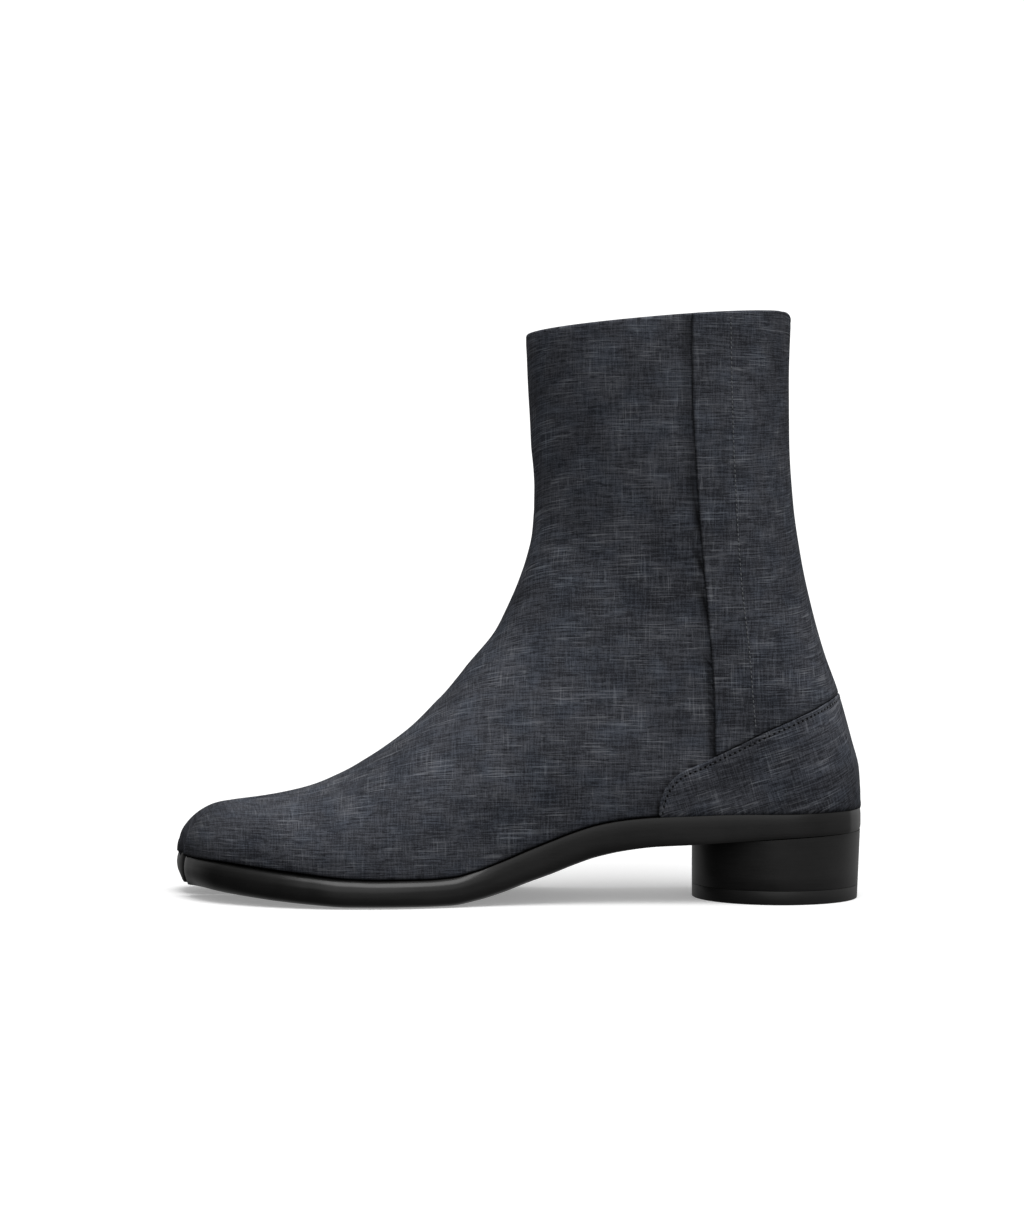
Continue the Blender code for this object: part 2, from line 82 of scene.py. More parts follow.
# Finish that only the looks need
FEATHER_ROUND = 0.0012
SPLIT_FLOOR_RUN = 0.0080
NOSE_BULGE = 0.0008
SEAM_INSET = 0.0020
SEAM_HALF = 0.00055
SEAM_PRESS = 0.00016
LAYER_ROUND = 0.0007
STITCH_PITCH = 0.00226
COUNTER_STITCH = (0.00135, 0.00017)
PANEL_STITCH = (0.0015, 0.00027)
PANEL_STITCHES = 84
PANEL_SINK = 0.0009
CREASE_DEPTH = 0.0013
COLLAR_CORNER = 0.0034
HEEL_LEAN = 0.0012
HEEL_BEVEL = 0.0001
TOP_PIECE_LIFT = 0.6
PANEL_TOP_GAP = 0.0004
PANEL_FOOT_GAP = 0.0005
COUNTER_WEAVE_TURN = 17.0
HAIR = 0.00002
NO_SPLIT = -1.0

# How finely the pieces are drawn
UPPER_RINGS = 300
FLANK_POINTS = 44
SPLIT_POINTS = 10
NOSE_RINGS = 6
RIM_ROWS = 5
FIRST_ROW = 0.35
SECTION_POINTS = 500
FRONT_POINTS = 60
PANEL_ROWS = 130
PANEL_COLUMNS = 90
COUNTER_COLUMNS = 110
COUNTER_ROWS = 60
HEEL_POINTS = 160

# Plan of the last: shares of the length, the middle line and the half breadth.
PLAN = {
    "x": (0.0, 0.125, 0.195, 0.263, 0.332, 0.401, 0.470, 0.539, 0.601, 0.659, 0.711,
          0.762, 0.814, 0.866, 0.910, 0.940, 0.962, 0.977, 0.987, 0.9925),
    "mid": (0.0, 0.0, -0.005, -0.011, -0.020, -0.026, -0.025, -0.025, -0.030, -0.030,
            -0.027, -0.024, -0.016, -0.003, 0.016, 0.038, 0.061, 0.085, 0.104, 0.100),
    "half": (0.353, 0.352, 0.344, 0.334, 0.326, 0.327, 0.348, 0.386, 0.435, 0.479, 0.497,
             0.499, 0.481, 0.446, 0.399, 0.355, 0.308, 0.255, 0.180, 0.098),
}
# Sole from the side: how high its tread stands by heel and toe spring, and its thickness.
SIDE = {
    "x": (0.0, 0.098, 0.201, 0.253, 0.305, 0.346, 0.387, 0.418, 0.453, 0.487, 0.522,
          0.557, 0.594, 0.628, 0.697, 0.735, 0.790, 0.842, 0.890, 0.938, 1.0),
    "rise": (1.080, 1.030, 0.955, 0.915, 0.885, 0.830, 0.735, 0.620, 0.470, 0.338, 0.193,
             0.080, 0.008, 0.0, 0.0, 0.0, 0.0, 0.0, 0.0, 0.0, 0.0),
    "spring": (0.0,) * 16 + (0.16, 0.38, 0.64, 0.88, 1.02),
    "thick": (0.79, 0.84, 1.00, 1.04, 1.06, 1.10, 1.14, 1.17, 1.19, 1.16, 1.14,
              1.08, 1.03, 1.00, 1.00, 1.04, 1.09, 1.12, 1.12, 1.12, 1.10),
}
# Sections of the last, upright across the toes and swinging round to lie flat at the collar:
# where each starts and ends in the side view, its half breadth and how full it is.
SECTIONS = {
    "low_x": (0.9925, 0.987, 0.977, 0.962, 0.940, 0.910, 0.866, 0.814, 0.762, 0.711, 0.656,
              0.594, 0.525, 0.435, 0.339, 0.229, 0.139, 0.071, 0.033, 0.012, 0.0055,
              0.0051, 0.0072, 0.018, 0.036, 0.0592, 0.0772, 0.0912, 0.1036, 0.1090, 0.1096,
              0.1064),
    "low_h": (0.0,) * 21 + (0.034, 0.077, 0.136, 0.227, 0.319, 0.411, 0.502, 0.623, 0.746,
                            0.868, 1.007),
    "top_x": (0.9925, 0.987, 0.977, 0.962, 0.940, 0.910, 0.866, 0.814, 0.762, 0.711, 0.659,
              0.614, 0.570, 0.533, 0.506, 0.488, 0.480, 0.4775, 0.4765, 0.4765, 0.4765,
              0.4765, 0.477, 0.478, 0.480, 0.4815, 0.483, 0.4845, 0.486, 0.487, 0.488,
              0.488),
    "top_h": (0.021, 0.044, 0.066, 0.087, 0.105, 0.117, 0.132, 0.155, 0.190, 0.235, 0.288,
              0.347, 0.391, 0.408, 0.448, 0.509, 0.557, 0.589, 0.609, 0.623, 0.637,
              0.652, 0.674, 0.700, 0.731, 0.767, 0.805, 0.839, 0.882, 0.918, 0.947,
              0.963),
    "half": (0.098, 0.180, 0.255, 0.310, 0.359, 0.405, 0.452, 0.488, 0.503, 0.495, 0.470,
             0.426, 0.383, 0.350, 0.339, 0.341, 0.346, 0.350, 0.352, 0.352, 0.352,
             0.352, 0.350, 0.348, 0.343, 0.339, 0.342, 0.350, 0.361, 0.372, 0.380,
             0.384),
    "belly": (0.20, 0.22, 0.24, 0.25, 0.25, 0.25, 0.25, 0.25, 0.25, 0.25, 0.26,
              0.28, 0.30, 0.32, 0.34, 0.36, 0.38, 0.39, 0.40, 0.41, 0.42,
              0.43, 0.44, 0.45, 0.45, 0.46, 0.46, 0.46, 0.46, 0.46, 0.46,
              0.46),
    "crown": (2.4, 2.3, 2.25, 2.2, 2.2, 2.2, 2.15, 2.1, 2.0, 1.95, 1.9,
              1.85, 1.85, 1.9, 1.95, 2.0, 2.0, 2.0, 2.0, 2.0, 2.0,
              2.0, 2.0, 2.0, 2.05, 2.1, 2.15, 2.2, 2.2, 2.25, 2.25,
              2.25),
    "back": (0.118,) * 21 + (0.120, 0.122, 0.128, 0.136, 0.145, 0.153, 0.160, 0.165, 0.168,
                             0.170, 0.170),
}
# Edges of the two overlays from the side, as shares of the length and of the shaft.
COUNTER_EDGE = {
    "x": (0.3005, 0.2995, 0.295, 0.284, 0.267, 0.244, 0.220, 0.183, 0.148, 0.110, 0.071,
          0.036, 0.004),
    "h": (-0.06, 0.012, 0.039, 0.064, 0.084, 0.098, 0.114, 0.139, 0.163, 0.186, 0.210,
          0.234, 0.258),
}
PANEL_EDGE = {
    "x": (0.218, 0.220, 0.2225, 0.227, 0.232, 0.237, 0.242, 0.249, 0.254, 0.255),
    "h": (-0.02, 0.116, 0.255, 0.336, 0.417, 0.498, 0.580, 0.714, 0.848, 1.100),
}
# Profile of the sole's edge from tread to seat, and how much of it each station has.
SOLE_EDGE = {
    "level": (0.0, 0.05, 0.11, 0.22, 0.40, 0.60, 0.78, 0.92, 1.0),
    "tread": (1.0, 0.50, 0.22, 0.05, 0.0, 0.0, 0.0, 0.0, 0.0),
    "toe": (1.0, 0.85, 0.70, 0.42, 0.10, 0.0, 0.0, 0.0, 0.0),
    "seat": (0.0, 0.0, 0.0, 0.0, 0.0, 0.02, 0.20, 0.58, 1.0),
}
SOLE_ROUNDS = {
    "x": (0.0, 0.25, 0.42, 0.52, 0.60, 0.80, 0.93, 0.975, 1.0),
    "tread": (0.05, 0.05, 0.35, 0.68, 0.90, 1.0, 0.60, 0.30, 0.30),
    "toe": (0.0, 0.0, 0.0, 0.0, 0.0, 0.10, 0.45, 1.0, 1.0),
    "seat": (0.10, 0.10, 0.10, 0.16, 0.85, 1.0, 0.80, 0.55, 0.45),
    "lip": (1.0, 1.0, 1.0, 1.0, 1.0, 1.0, 0.85, 0.35, 0.20),
}
# Stitch line of the rear panel from the side.
HOOK_LINE = {
    "x": (0.163, 0.166, 0.171, 0.183, 0.190, 0.195, 0.198),
    "h": (0.175, 0.217, 0.308, 0.470, 0.633, 0.795, 0.980),
}
# Soft folds from the side: the two ends of each trough, its half width and its depth in
# millimetres (a negative depth is a ridge), and the side that it lies on (-1 outer, 1 inner).
FOLDS = {
    "x0": (0.470, 0.455, 0.440, 0.520, 0.400, 0.300, 0.470, 0.460, 0.430, 0.330),
    "h0": (0.660, 0.560, 0.480, 0.360, 0.300, 0.420, 0.640, 0.540, 0.440, 0.380),
    "x1": (0.330, 0.300, 0.330, 0.400, 0.300, 0.230, 0.320, 0.310, 0.300, 0.240),
    "h1": (0.610, 0.500, 0.300, 0.180, 0.140, 0.390, 0.600, 0.470, 0.260, 0.350),
    "wide": (9.0, 10.0, 9.0, 10.0, 11.0, 7.0, 9.0, 10.0, 10.0, 8.0),
    "deep": (0.45, 0.60, -0.50, 0.55, 0.50, 0.35, 0.50, 0.55, 0.50, 0.35),
    "side": (-1, -1, -1, -1, -1, -1, 1, 1, 1, 1),
}
COUNTER_FOLDS = {
    "x0": (0.152, 0.150, 0.240),
    "h0": (-0.010, 0.080, 0.030),
    "x1": (0.080, 0.050, 0.160),
    "h1": (0.035, 0.120, 0.050),
    "wide": (2.6, 4.5, 4.0),
    "deep": (0.32, 0.22, 0.20),
    "side": (-1, -1, -1),
}
# Painted shade beside an edge: half widths in millimetres of its thin line and of its soft band.
SHADES = {
    "panel": (1.3, 3.2),
    "counter": (0.8, 2.6),
    "sole": (1.0, 7.0),
    "counter_foot": (0.9, 5.0),
}
# Distances from an overlay's edge, in millimetres, at which its rounding is drawn.
EDGE_STEPS = (0, 0.06, 0.15, 0.3, 0.5, 0.8, 1.2, 1.6, 2.0, 2.5, 3.2, 4.2)
COLLAR_STEPS = (0, 0.15, 0.35, 0.6, 1.0, 1.6, 2.4)
FOOT_STEPS = (0, 0.15, 0.35, 0.6, 0.9, 1.3, 2.0)
# Pulls that even out the sole's tip, in turn inwards and outwards, so that it keeps its size.
TIP_PULLS = (0.5, -0.53) * 24


def smooth(at, places, values):
    """Read a smooth curve through the values, with no overshoot between two of them."""
    places = np.asarray(places, float)
    values = np.asarray(values, float)
    at = np.clip(np.asarray(at, float), places.min(), places.max())
    run = np.diff(places)
    slope = np.diff(values) / run
    before, after = slope[:-1], slope[1:]
    same_way = before * after > 0
    total = np.where(same_way, before + after, 1.0)
    inner = np.where(same_way, 2 * before * after / total, 0)
    tangent = np.concatenate((slope[:1], inner, slope[-1:]))
    piece = np.clip(np.searchsorted(places, at, side="right") - 1, 0, len(run) - 1)
    step = run[piece]
    t = (at - places[piece]) / step
    return (values[piece] * (1 + 2 * t) * (1 - t) ** 2 + tangent[piece] * step * t * (1 - t) ** 2
            + values[piece + 1] * t * t * (3 - 2 * t) + tangent[piece + 1] * step * t * t * (t - 1))


def ease(value, low, high):
    t = np.clip((value - low) / (high - low), 0, 1)
    return t * t * (3 - 2 * t)


def place_x(share):
    return HEEL_OVERHANG - np.asarray(share, float) * LENGTH


def share_x(x):
    return (HEEL_OVERHANG - np.asarray(x, float)) / LENGTH


def tread_height(x):
    share = share_x(x)
    return (smooth(share, SIDE["x"], SIDE["rise"]) * HEEL_HEIGHT
            + smooth(share, SIDE["x"], SIDE["spring"]) * TOE_SPRING)


def seat_height(x):
    return tread_height(x) + smooth(share_x(x), SIDE["x"], SIDE["thick"]) * SOLE_THICKNESS


def plan(x, column):
    return smooth(share_x(x), PLAN["x"], PLAN[column]) * BALL_WIDTH


def slant(x, y):
    return x - TOE_SLANT * y * ease(share_x(x), TOE_SLANT_START, 1.0)


def rounding(distance, run):
    """Quarter circle from 0 at the edge to 1 at the run."""
    return np.sqrt(np.clip(1 - (1 - np.clip(distance / run, 0, 1)) ** 2, 0, 1))


def length_of(vectors):
    return np.linalg.norm(vectors, axis=-1)


# The last, read at any row of the sections

ROWS = np.arange(len(SECTIONS["low_x"]))
LAST_ROW = float(ROWS[-1])
BACK_ROW = next(i for i, h in enumerate(SECTIONS["low_h"]) if h > 0)
BACK_X = place_x(SECTIONS["low_x"][BACK_ROW:])
BACK_Z = seat_height(BACK_X) + np.array(SECTIONS["low_h"][BACK_ROW:]) * SHAFT_HEIGHT


def row_ends(row):
    """The two ends of a section: low x, low z, top x, top z."""
    low_h = smooth(row, ROWS, SECTIONS["low_h"])
    low_x = place_x(smooth(row, ROWS, SECTIONS["low_x"]))
    top_x = place_x(smooth(row, ROWS, SECTIONS["top_x"]))
    seat = seat_height(low_x)
    sunk = HIDDEN_DEPTH * np.clip(1 - low_h / SECTIONS["low_h"][BACK_ROW], 0, 1)
    return (low_x, seat + low_h * SHAFT_HEIGHT - sunk,
            top_x, seat + smooth(row, ROWS, SECTIONS["top_h"]) * SHAFT_HEIGHT)


def back_place(height):
    return smooth(height, BACK_Z, BACK_X)


def last_point(row, v, side):
    """Point of the last on a row, at the share v of the way from its low end to its top."""
    row, v = np.broadcast_arrays(np.asarray(row, float), np.asarray(v, float))
    low_x, low_z, top_x, top_z = row_ends(row)
    belly, crown = smooth(row, ROWS, SECTIONS["belly"]), smooth(row, ROWS, SECTIONS["crown"])
    half = smooth(row, ROWS, SECTIONS["half"]) * BALL_WIDTH
    back = smooth(row, ROWS, SECTIONS["back"]) * LENGTH
    x, z = low_x + (top_x - low_x) * v, low_z + (top_z - low_z) * v
    feather = plan(low_x, "half")
    base = feather + (half - feather) * ease(v / belly, 0, 1)
    over = np.clip((v - belly) / (1 - belly), 0, 1)
    width = base * np.clip(1 - over ** crown, 0, 1) ** (1 / crown)
    width = width * rounding(back_place(z) - x, back)
    foot = np.clip((z - seat_height(x) - CLEARANCE) / FEATHER_ROUND, 0, 1)
    width = np.maximum(width - FEATHER_ROUND * (1 - np.sqrt(1 - (1 - foot) ** 2)), 0)
    width = np.where((v >= 1) | ((v <= 0) & (row >= BACK_ROW)), 0, width)
    y = plan(low_x, "mid") + side * width
    return np.stack((slant(x, y), y, z), -1)


def collar_drop(x):
    """How far the collar's edge curves down at its back corner."""
    behind = float(BACK_X[-1]) - x
    return COLLAR_CORNER * (1 - rounding(behind, COLLAR_CORNER))


def foot_share(row):
    """Share v at which a row stands on the seat, 0 where it starts on the heel's back."""
    low_x, low_z, top_x, top_z = row_ends(row)
    under, over = np.zeros_like(low_x), np.full_like(low_x, 0.6)
    for _ in range(40):
        v = (under + over) / 2
        x, z = low_x + (top_x - low_x) * v, low_z + (top_z - low_z) * v
        high = z > seat_height(x) + CLEARANCE
        over, under = np.where(high, v, over), np.where(high, under, v)
    start = row_ends(row)[1] > seat_height(low_x) + CLEARANCE
    return np.where(start, 0.0, (under + over) / 2)


def row_through(x, z):
    """Row and share v of the last that pass through a place of the side view."""
    under, over = np.full_like(x, 6.0), np.full_like(x, LAST_ROW)
    for _ in range(36):
        row = (under + over) / 2
        low_x, low_z, top_x, top_z = row_ends(row)
        beyond = (top_x - low_x) * (z - low_z) - (top_z - low_z) * (x - low_x) > 0
        over, under = np.where(beyond, row, over), np.where(beyond, under, row)
    low_x, low_z, top_x, top_z = row_ends(row)
    run_x, run_z = top_x - low_x, top_z - low_z
    v = ((x - low_x) * run_x + (z - low_z) * run_z) / (run_x ** 2 + run_z ** 2)
    return row, np.clip(v, 0, 1)


# Place on the flat cloth of every point of the last, so that the weave follows the surface

CLOTH_ROWS = np.linspace(0, LAST_ROW, 311)
CLOTH_SHARES = np.sin(np.linspace(0, math.pi / 2, 161))


def cloth_table():
    """Length of cloth along each row, measured from its belly."""
    line = last_point(CLOTH_ROWS[:, None], CLOTH_SHARES[None, :], -1)
    run = np.concatenate((np.zeros((len(line), 1)), np.cumsum(length_of(np.diff(line, axis=1)), 1)), 1)
    belly = smooth(CLOTH_ROWS, ROWS, SECTIONS["belly"])
    at_belly = np.array([np.interp(b, CLOTH_SHARES, r) for b, r in zip(belly, run)])
    return run - at_belly[:, None]


CLOTH_RUN = cloth_table()


def row_direction(row):
    low_x, low_z, top_x, top_z = row_ends(row)
    size = np.hypot(top_x - low_x, top_z - low_z)
    return (top_x - low_x) / size, (top_z - low_z) / size


def cloth_place(row, v, side):
    """Place on the cloth: two lengths along it, and the distance across the boot."""
    row, v = np.broadcast_arrays(np.asarray(row, float), np.asarray(v, float))
    at_row = np.clip(row / LAST_ROW * (len(CLOTH_ROWS) - 1), 0, len(CLOTH_ROWS) - 1.001)
    at_share = np.clip(np.arcsin(v) / (math.pi / 2) * (len(CLOTH_SHARES) - 1),
                       0, len(CLOTH_SHARES) - 1.001)
    i, j = at_row.astype(int), at_share.astype(int)
    a, b = at_row - i, at_share - j
    run = ((CLOTH_RUN[i, j] * (1 - a) + CLOTH_RUN[i + 1, j] * a) * (1 - b)
           + (CLOTH_RUN[i, j + 1] * (1 - a) + CLOTH_RUN[i + 1, j + 1] * a) * b)
    low_x, low_z, top_x, top_z = row_ends(row)
    belly = smooth(row, ROWS, SECTIONS["belly"])
    way_x, way_z = row_direction(row)
    y = last_point(row, v, side)[..., 1]
    return np.stack((low_x + (top_x - low_x) * belly + way_x * run,
                     low_z + (top_z - low_z) * belly + way_z * run, y), -1)


# The split between the toes

SPLIT_ROOT = float(place_x(PLAN["x"][-1])) + SPLIT_LENGTH


def toe_profile():
    """Outline of the toe in the middle plane, from its front foot up and back."""
    rows = np.linspace(0, 9, SECTION_POINTS)
    low_x, low_z, top_x, top_z = row_ends(rows)
    front = np.stack((np.full(FRONT_POINTS, low_x[0]),
                      np.linspace(low_z[0], top_z[0], FRONT_POINTS)), 1)
    return np.concatenate((front, np.stack((top_x, top_z), 1)))


TOE_PROFILE = toe_profile()


def split_half(x, z):
    """Half width of the split, which opens out at its rounded lips."""
    fade = rounding(SPLIT_ROOT - x, SPLIT_TAPER)
    radius = SPLIT_ROUND * fade
    outline_x, outline_z = TOE_PROFILE[:, 0][:, None], TOE_PROFILE[:, 1][:, None]
    depth = np.hypot(outline_x - x, outline_z - z[None, :]).min(0)
    return (SPLIT_WIDTH / 2 * fade + radius
            - np.sqrt(np.clip(radius ** 2 - np.clip(radius - depth, 0, None) ** 2, 0, None)))


def split_floor(x):
    """Bottom of the split: the seat, rising to the top of the toes at the root."""
    roof = np.interp(x, TOE_PROFILE[FRONT_POINTS:, 0], TOE_PROFILE[FRONT_POINTS:, 1])
    seat = float(seat_height(x)) + CLEARANCE
    return roof - (roof - seat) * float(rounding(SPLIT_ROOT - x, SPLIT_FLOOR_RUN))


def spread(line, marks):
    """Points of a line at the given shares of its length."""
    run = np.concatenate(([0], np.cumsum(length_of(np.diff(line[:, :3], axis=0)))))
    return np.stack([np.interp(marks * run[-1], run, line[:, k]) for k in range(line.shape[1])], 1)


def flank_marks(line):
    """Shares of a flank's length, closer together by its foot."""
    total = max(length_of(np.diff(line[:, :3], axis=0)).sum(), 1e-6)
    foot = np.array(FOOT_STEPS) * MM
    foot = foot * min(1, total / (3 * foot[-1]))
    rest = np.linspace(foot[-1], total, FLANK_POINTS - len(foot) + 1)[1:]
    return np.concatenate((foot, rest)) / total


def crossing(line, gap, first):
    """Point of a line where the gap to the split closes, found just before an index."""
    a, b = gap[first - 1], gap[first]
    t = a / (a - b) if a != b else 0.5
    return line[first - 1] + (line[first] - line[first - 1]) * t


def half_ring(row, side, split_row):
    """One side of a ring, from its foot to the middle, as points with their cloth.

    The middle comes as a point of its own. In front of the toe there is no ring."""
    v_low = float(foot_share(np.array([row]))[0])
    v = v_low + (1 - v_low) * np.sin(np.linspace(0, math.pi / 2, SECTION_POINTS))
    near = np.column_stack((last_point(row, v, side), cloth_place(row, v, side)))
    far = np.column_stack((last_point(row, v, -side), cloth_place(row, v, -side)))
    line = np.concatenate((near, far[-2::-1]))
    x = float(row_ends(np.array([row]))[0][0])
    way = np.array([float(w[0]) for w in row_direction(np.array([row]))])
    away = side * (line[:, 1] - SPLIT_Y)
    start = 0
    if split_row:
        half = split_half(x, line[:, 2])
        floor = split_floor(x)
        gap = away - np.where(line[:, 2] > floor - HAIR, half, NO_SPLIT)
    else:
        start = len(v) // 2
        gap = away - (2 * MM + 7 * MM * ease(row, 6, 14))
    inside = np.nonzero(gap[start:] < 0)[0]
    first = start + int(inside[0])
    if first == 0 or (split_row and away[0] - half[0] < NOSE_BULGE):
        return None
    edge = crossing(line, gap, first)
    flank = np.concatenate((line[:first], edge[None]))
    if split_row:
        z = np.linspace(edge[2], floor, 40)
        y = SPLIT_Y + side * split_half(x, z)
        wall = np.column_stack((slant(x, y), y, z))
        run = np.concatenate(([0], np.cumsum(length_of(np.diff(wall, axis=0)))))[:, None]
        wall = np.column_stack((wall, edge[3:5] + way * run, y))
    else:
        past = first + int(np.argmax(away[first:] < 0))
        wall = np.concatenate((edge[None], line[first:past]))
        wall = spread(wall, np.linspace(0, 0.85, 30))
    flank = spread(flank, flank_marks(flank))
    wall = spread(wall, np.linspace(0, 1, SPLIT_POINTS + 1)[1:])
    if split_row:
        middle = np.array((float(slant(x, SPLIT_Y)), SPLIT_Y, floor, *wall[-1, 3:5], SPLIT_Y))
    else:
        middle = crossing(line, away, past)
    return np.concatenate((flank, wall)), middle


def ring_rows():
    """Rows at which the upper is drawn, evenly spread along it and closer at the toe."""
    fine = np.linspace(FIRST_ROW, LAST_ROW, 3000)
    low_x, low_z, top_x, top_z = row_ends(fine)
    step = np.maximum(np.hypot(np.diff(low_x), np.diff(low_z)),
                      np.hypot(np.diff(top_x), np.diff(top_z)))
    step = step * (1 + 3.5 * (1 - ease(fine[1:], 1.0, 5.0)))
    run = np.concatenate(([0], np.cumsum(step)))
    return np.interp(np.linspace(0, run[-1], UPPER_RINGS), run, fine)


def fill_nose(rings, lobe, first):
    """Close the front of a toe with rings that shrink to its foot and bulge forward."""
    ring = rings[first, lobe]
    centre = (ring[0] + ring[-1]) / 2
    for k in range(first):
        turn = min((first - k) / NOSE_RINGS, 1) * math.pi / 2
        rings[k, lobe] = centre + (ring - centre) * math.cos(turn)
        rings[k, lobe, 0] -= NOSE_BULGE * math.sin(turn)


def upper_rings():
    """Rings of the upper from toe to collar, and which of them the split cuts to the seat."""
    rows = ring_rows()
    side = FLANK_POINTS + SPLIT_POINTS
    rings = np.zeros((NOSE_RINGS + len(rows), 2 * side + 1, 6))
    open_floor = np.zeros(len(rings), bool)
    first = {-1: 0, 1: 0}
    for i, row in enumerate(rows):
        k = NOSE_RINGS + i
        x = float(row_ends(np.array([row]))[0][0])
        split_row = x < SPLIT_ROOT - 0.3 * MM
        open_floor[k] = x <= SPLIT_ROOT - SPLIT_FLOOR_RUN
        for way in (-1, 1):
            half = half_ring(row, way, split_row)
            if half is None:
                continue
            line, middle = half
            if not first[way]:
                first[way] = k
            if way < 0:
                rings[k, :side] = line
            else:
                rings[k, side + 1:] = line[::-1]
            rings[k, side] = middle
    fill_nose(rings, slice(0, side), first[-1])
    fill_nose(rings, slice(side + 1, None), first[1])
    rings[:NOSE_RINGS, side] = rings[NOSE_RINGS, side]
    open_floor[:NOSE_RINGS] = True
    lowered = ease(np.concatenate((np.zeros(NOSE_RINGS), rows)), LAST_ROW - 1, LAST_ROW)
    rings[:, :, 2] -= lowered[:, None] * (WALL / 2 + collar_drop(rings[:, :, 0]))
    return rings, open_floor


def normals_of(grid, joined=None):
    """Outward normals of a grid of points; joined marks rings whose two ends meet."""
    along, around = np.gradient(grid, axis=0), np.gradient(grid, axis=1)
    normal = np.cross(along, around)
    size = length_of(normal)[..., None]
    normal = np.where(size > 1e-14, normal / np.maximum(size, 1e-14), (-1.0, 0.0, 0.0))
    if joined is not None:
        both = normal[joined, 0] + normal[joined, -1]
        both /= length_of(both)[:, None]
        normal[joined, 0] = both
        normal[joined, -1] = both
    return normal


def wall_depth(points, side):
    """Thickness of the upper at each point, less in the narrow tips of the toes."""
    depth = np.full(points.shape[:2], WALL)
    for lobe, (a, b) in ((slice(0, side), (0, side - 1)), (slice(side + 1, None), (side + 1, -1))):
        room = length_of(points[:, a] - points[:, b])
        room = np.where(points[:, 0, 0] < SPLIT_ROOT, room, 1.0)
        depth[:, lobe] = np.minimum(WALL, 0.3 * room)[:, None]
    return depth[..., None]


def fold_depth(points, table):
    """How far the soft folds press the cloth in at each point."""
    x, z = points[..., 0], points[..., 2]
    total = np.zeros(x.shape)
    for x0, h0, x1, h1, wide, deep, side in zip(*table.values()):
        ax, bx = place_x(x0), place_x(x1)
        az, bz = seat_height(0.0) + h0 * SHAFT_HEIGHT, seat_height(0.0) + h1 * SHAFT_HEIGHT
        run = (bx - ax) ** 2 + (bz - az) ** 2
        t = ((x - ax) * (bx - ax) + (z - az) * (bz - az)) / run
        t = np.clip(t, 0, 1)
        off = np.hypot(x - ax - t * (bx - ax), z - az - t * (bz - az)) / (wide * MM)
        here = ease(side * points[..., 1], -4 * MM, 6 * MM)
        swell = 0.45 * np.exp(-((off - 1.9) / 0.9) ** 2)
        total += here * deep * MM * (np.exp(-off ** 2) - swell)
    return total


def panel_front(z):
    """Where the rear panel's front edge lies at a height."""
    return place_x(smooth((z - seat_height(0.0)) / SHAFT_HEIGHT, PANEL_EDGE["h"], PANEL_EDGE["x"]))


def panel_groove(points):
    """The upper sinks a little where the rear panel's front edge stands on it."""
    off = (points[..., 0] - panel_front(points[..., 2]) + 0.4 * MM) / (1.7 * MM)
    above = ease(points[..., 2], 58 * MM, 64 * MM)
    return PANEL_SINK * np.exp(-off ** 2) * above


def line_gap(points, table):
    """Distance in the side view to the edge of an overlay."""
    rows = np.linspace(0, len(table["x"]) - 1, 300)
    x = place_x(smooth(rows, np.arange(len(table["x"])), table["x"]))
    z = seat_height(0.0) + smooth(rows, np.arange(len(table["h"])), table["h"]) * SHAFT_HEIGHT
    flat = points.reshape(-1, 3)
    gap = np.array([np.hypot(x - p[0], z - p[2]).min() for p in flat])
    return gap.reshape(points.shape[:-1])


def soft_shade(gap, edge):
    """Painted shade beside an edge: a thin dark line that fades into a wide soft band."""
    near, far = SHADES[edge]
    return 0.62 * np.exp(-(gap / (near * MM)) ** 2) + 0.26 * np.exp(-(gap / (far * MM)) ** 2)


def cloth_shade(points):
    """Painted shade on the upper beside the panel, the counter and the sole, and round the toe."""
    x, z = points[..., 0], points[..., 2]
    beside_panel = soft_shade(np.abs(panel_front(z) - x - 0.8 * MM), "panel") * ease(z, 56 * MM, 62 * MM)
    beside_counter = soft_shade(line_gap(points, COUNTER_EDGE), "counter")
    above_sole = soft_shade(np.maximum(z - seat_height(x), 0), "sole")
    tip = float(place_x(PLAN["x"][-1]))
    toe_shade = 0.24 * (1 - ease(x - tip, 4 * MM, 30 * MM))
    light = (1 - beside_panel) * (1 - beside_counter) * (1 - above_sole) * (1 - toe_shade)
    return np.clip(1 - light, 0, 0.9)


def shade_layer(shade, copies):
    """Layer of vectors whose x is the painted shade, repeated for each copy of the points."""
    flat = np.tile(shade.ravel(), copies)
    return np.stack((flat, 0 * flat, 0 * flat), -1)


def split_crease(points):
    """Shallow trough that carries the split on up the vamp and dies out."""
    off = (points[..., 1] - SPLIT_Y) / (3.2 * MM)
    behind = points[..., 0] - SPLIT_ROOT
    strength = ease(behind, -10 * MM, 0) * (1 - ease(behind, 2 * MM, 26 * MM))
    high = ease(points[..., 2], 24 * MM, 30 * MM)
    return CREASE_DEPTH * strength * np.exp(-off ** 2) * high


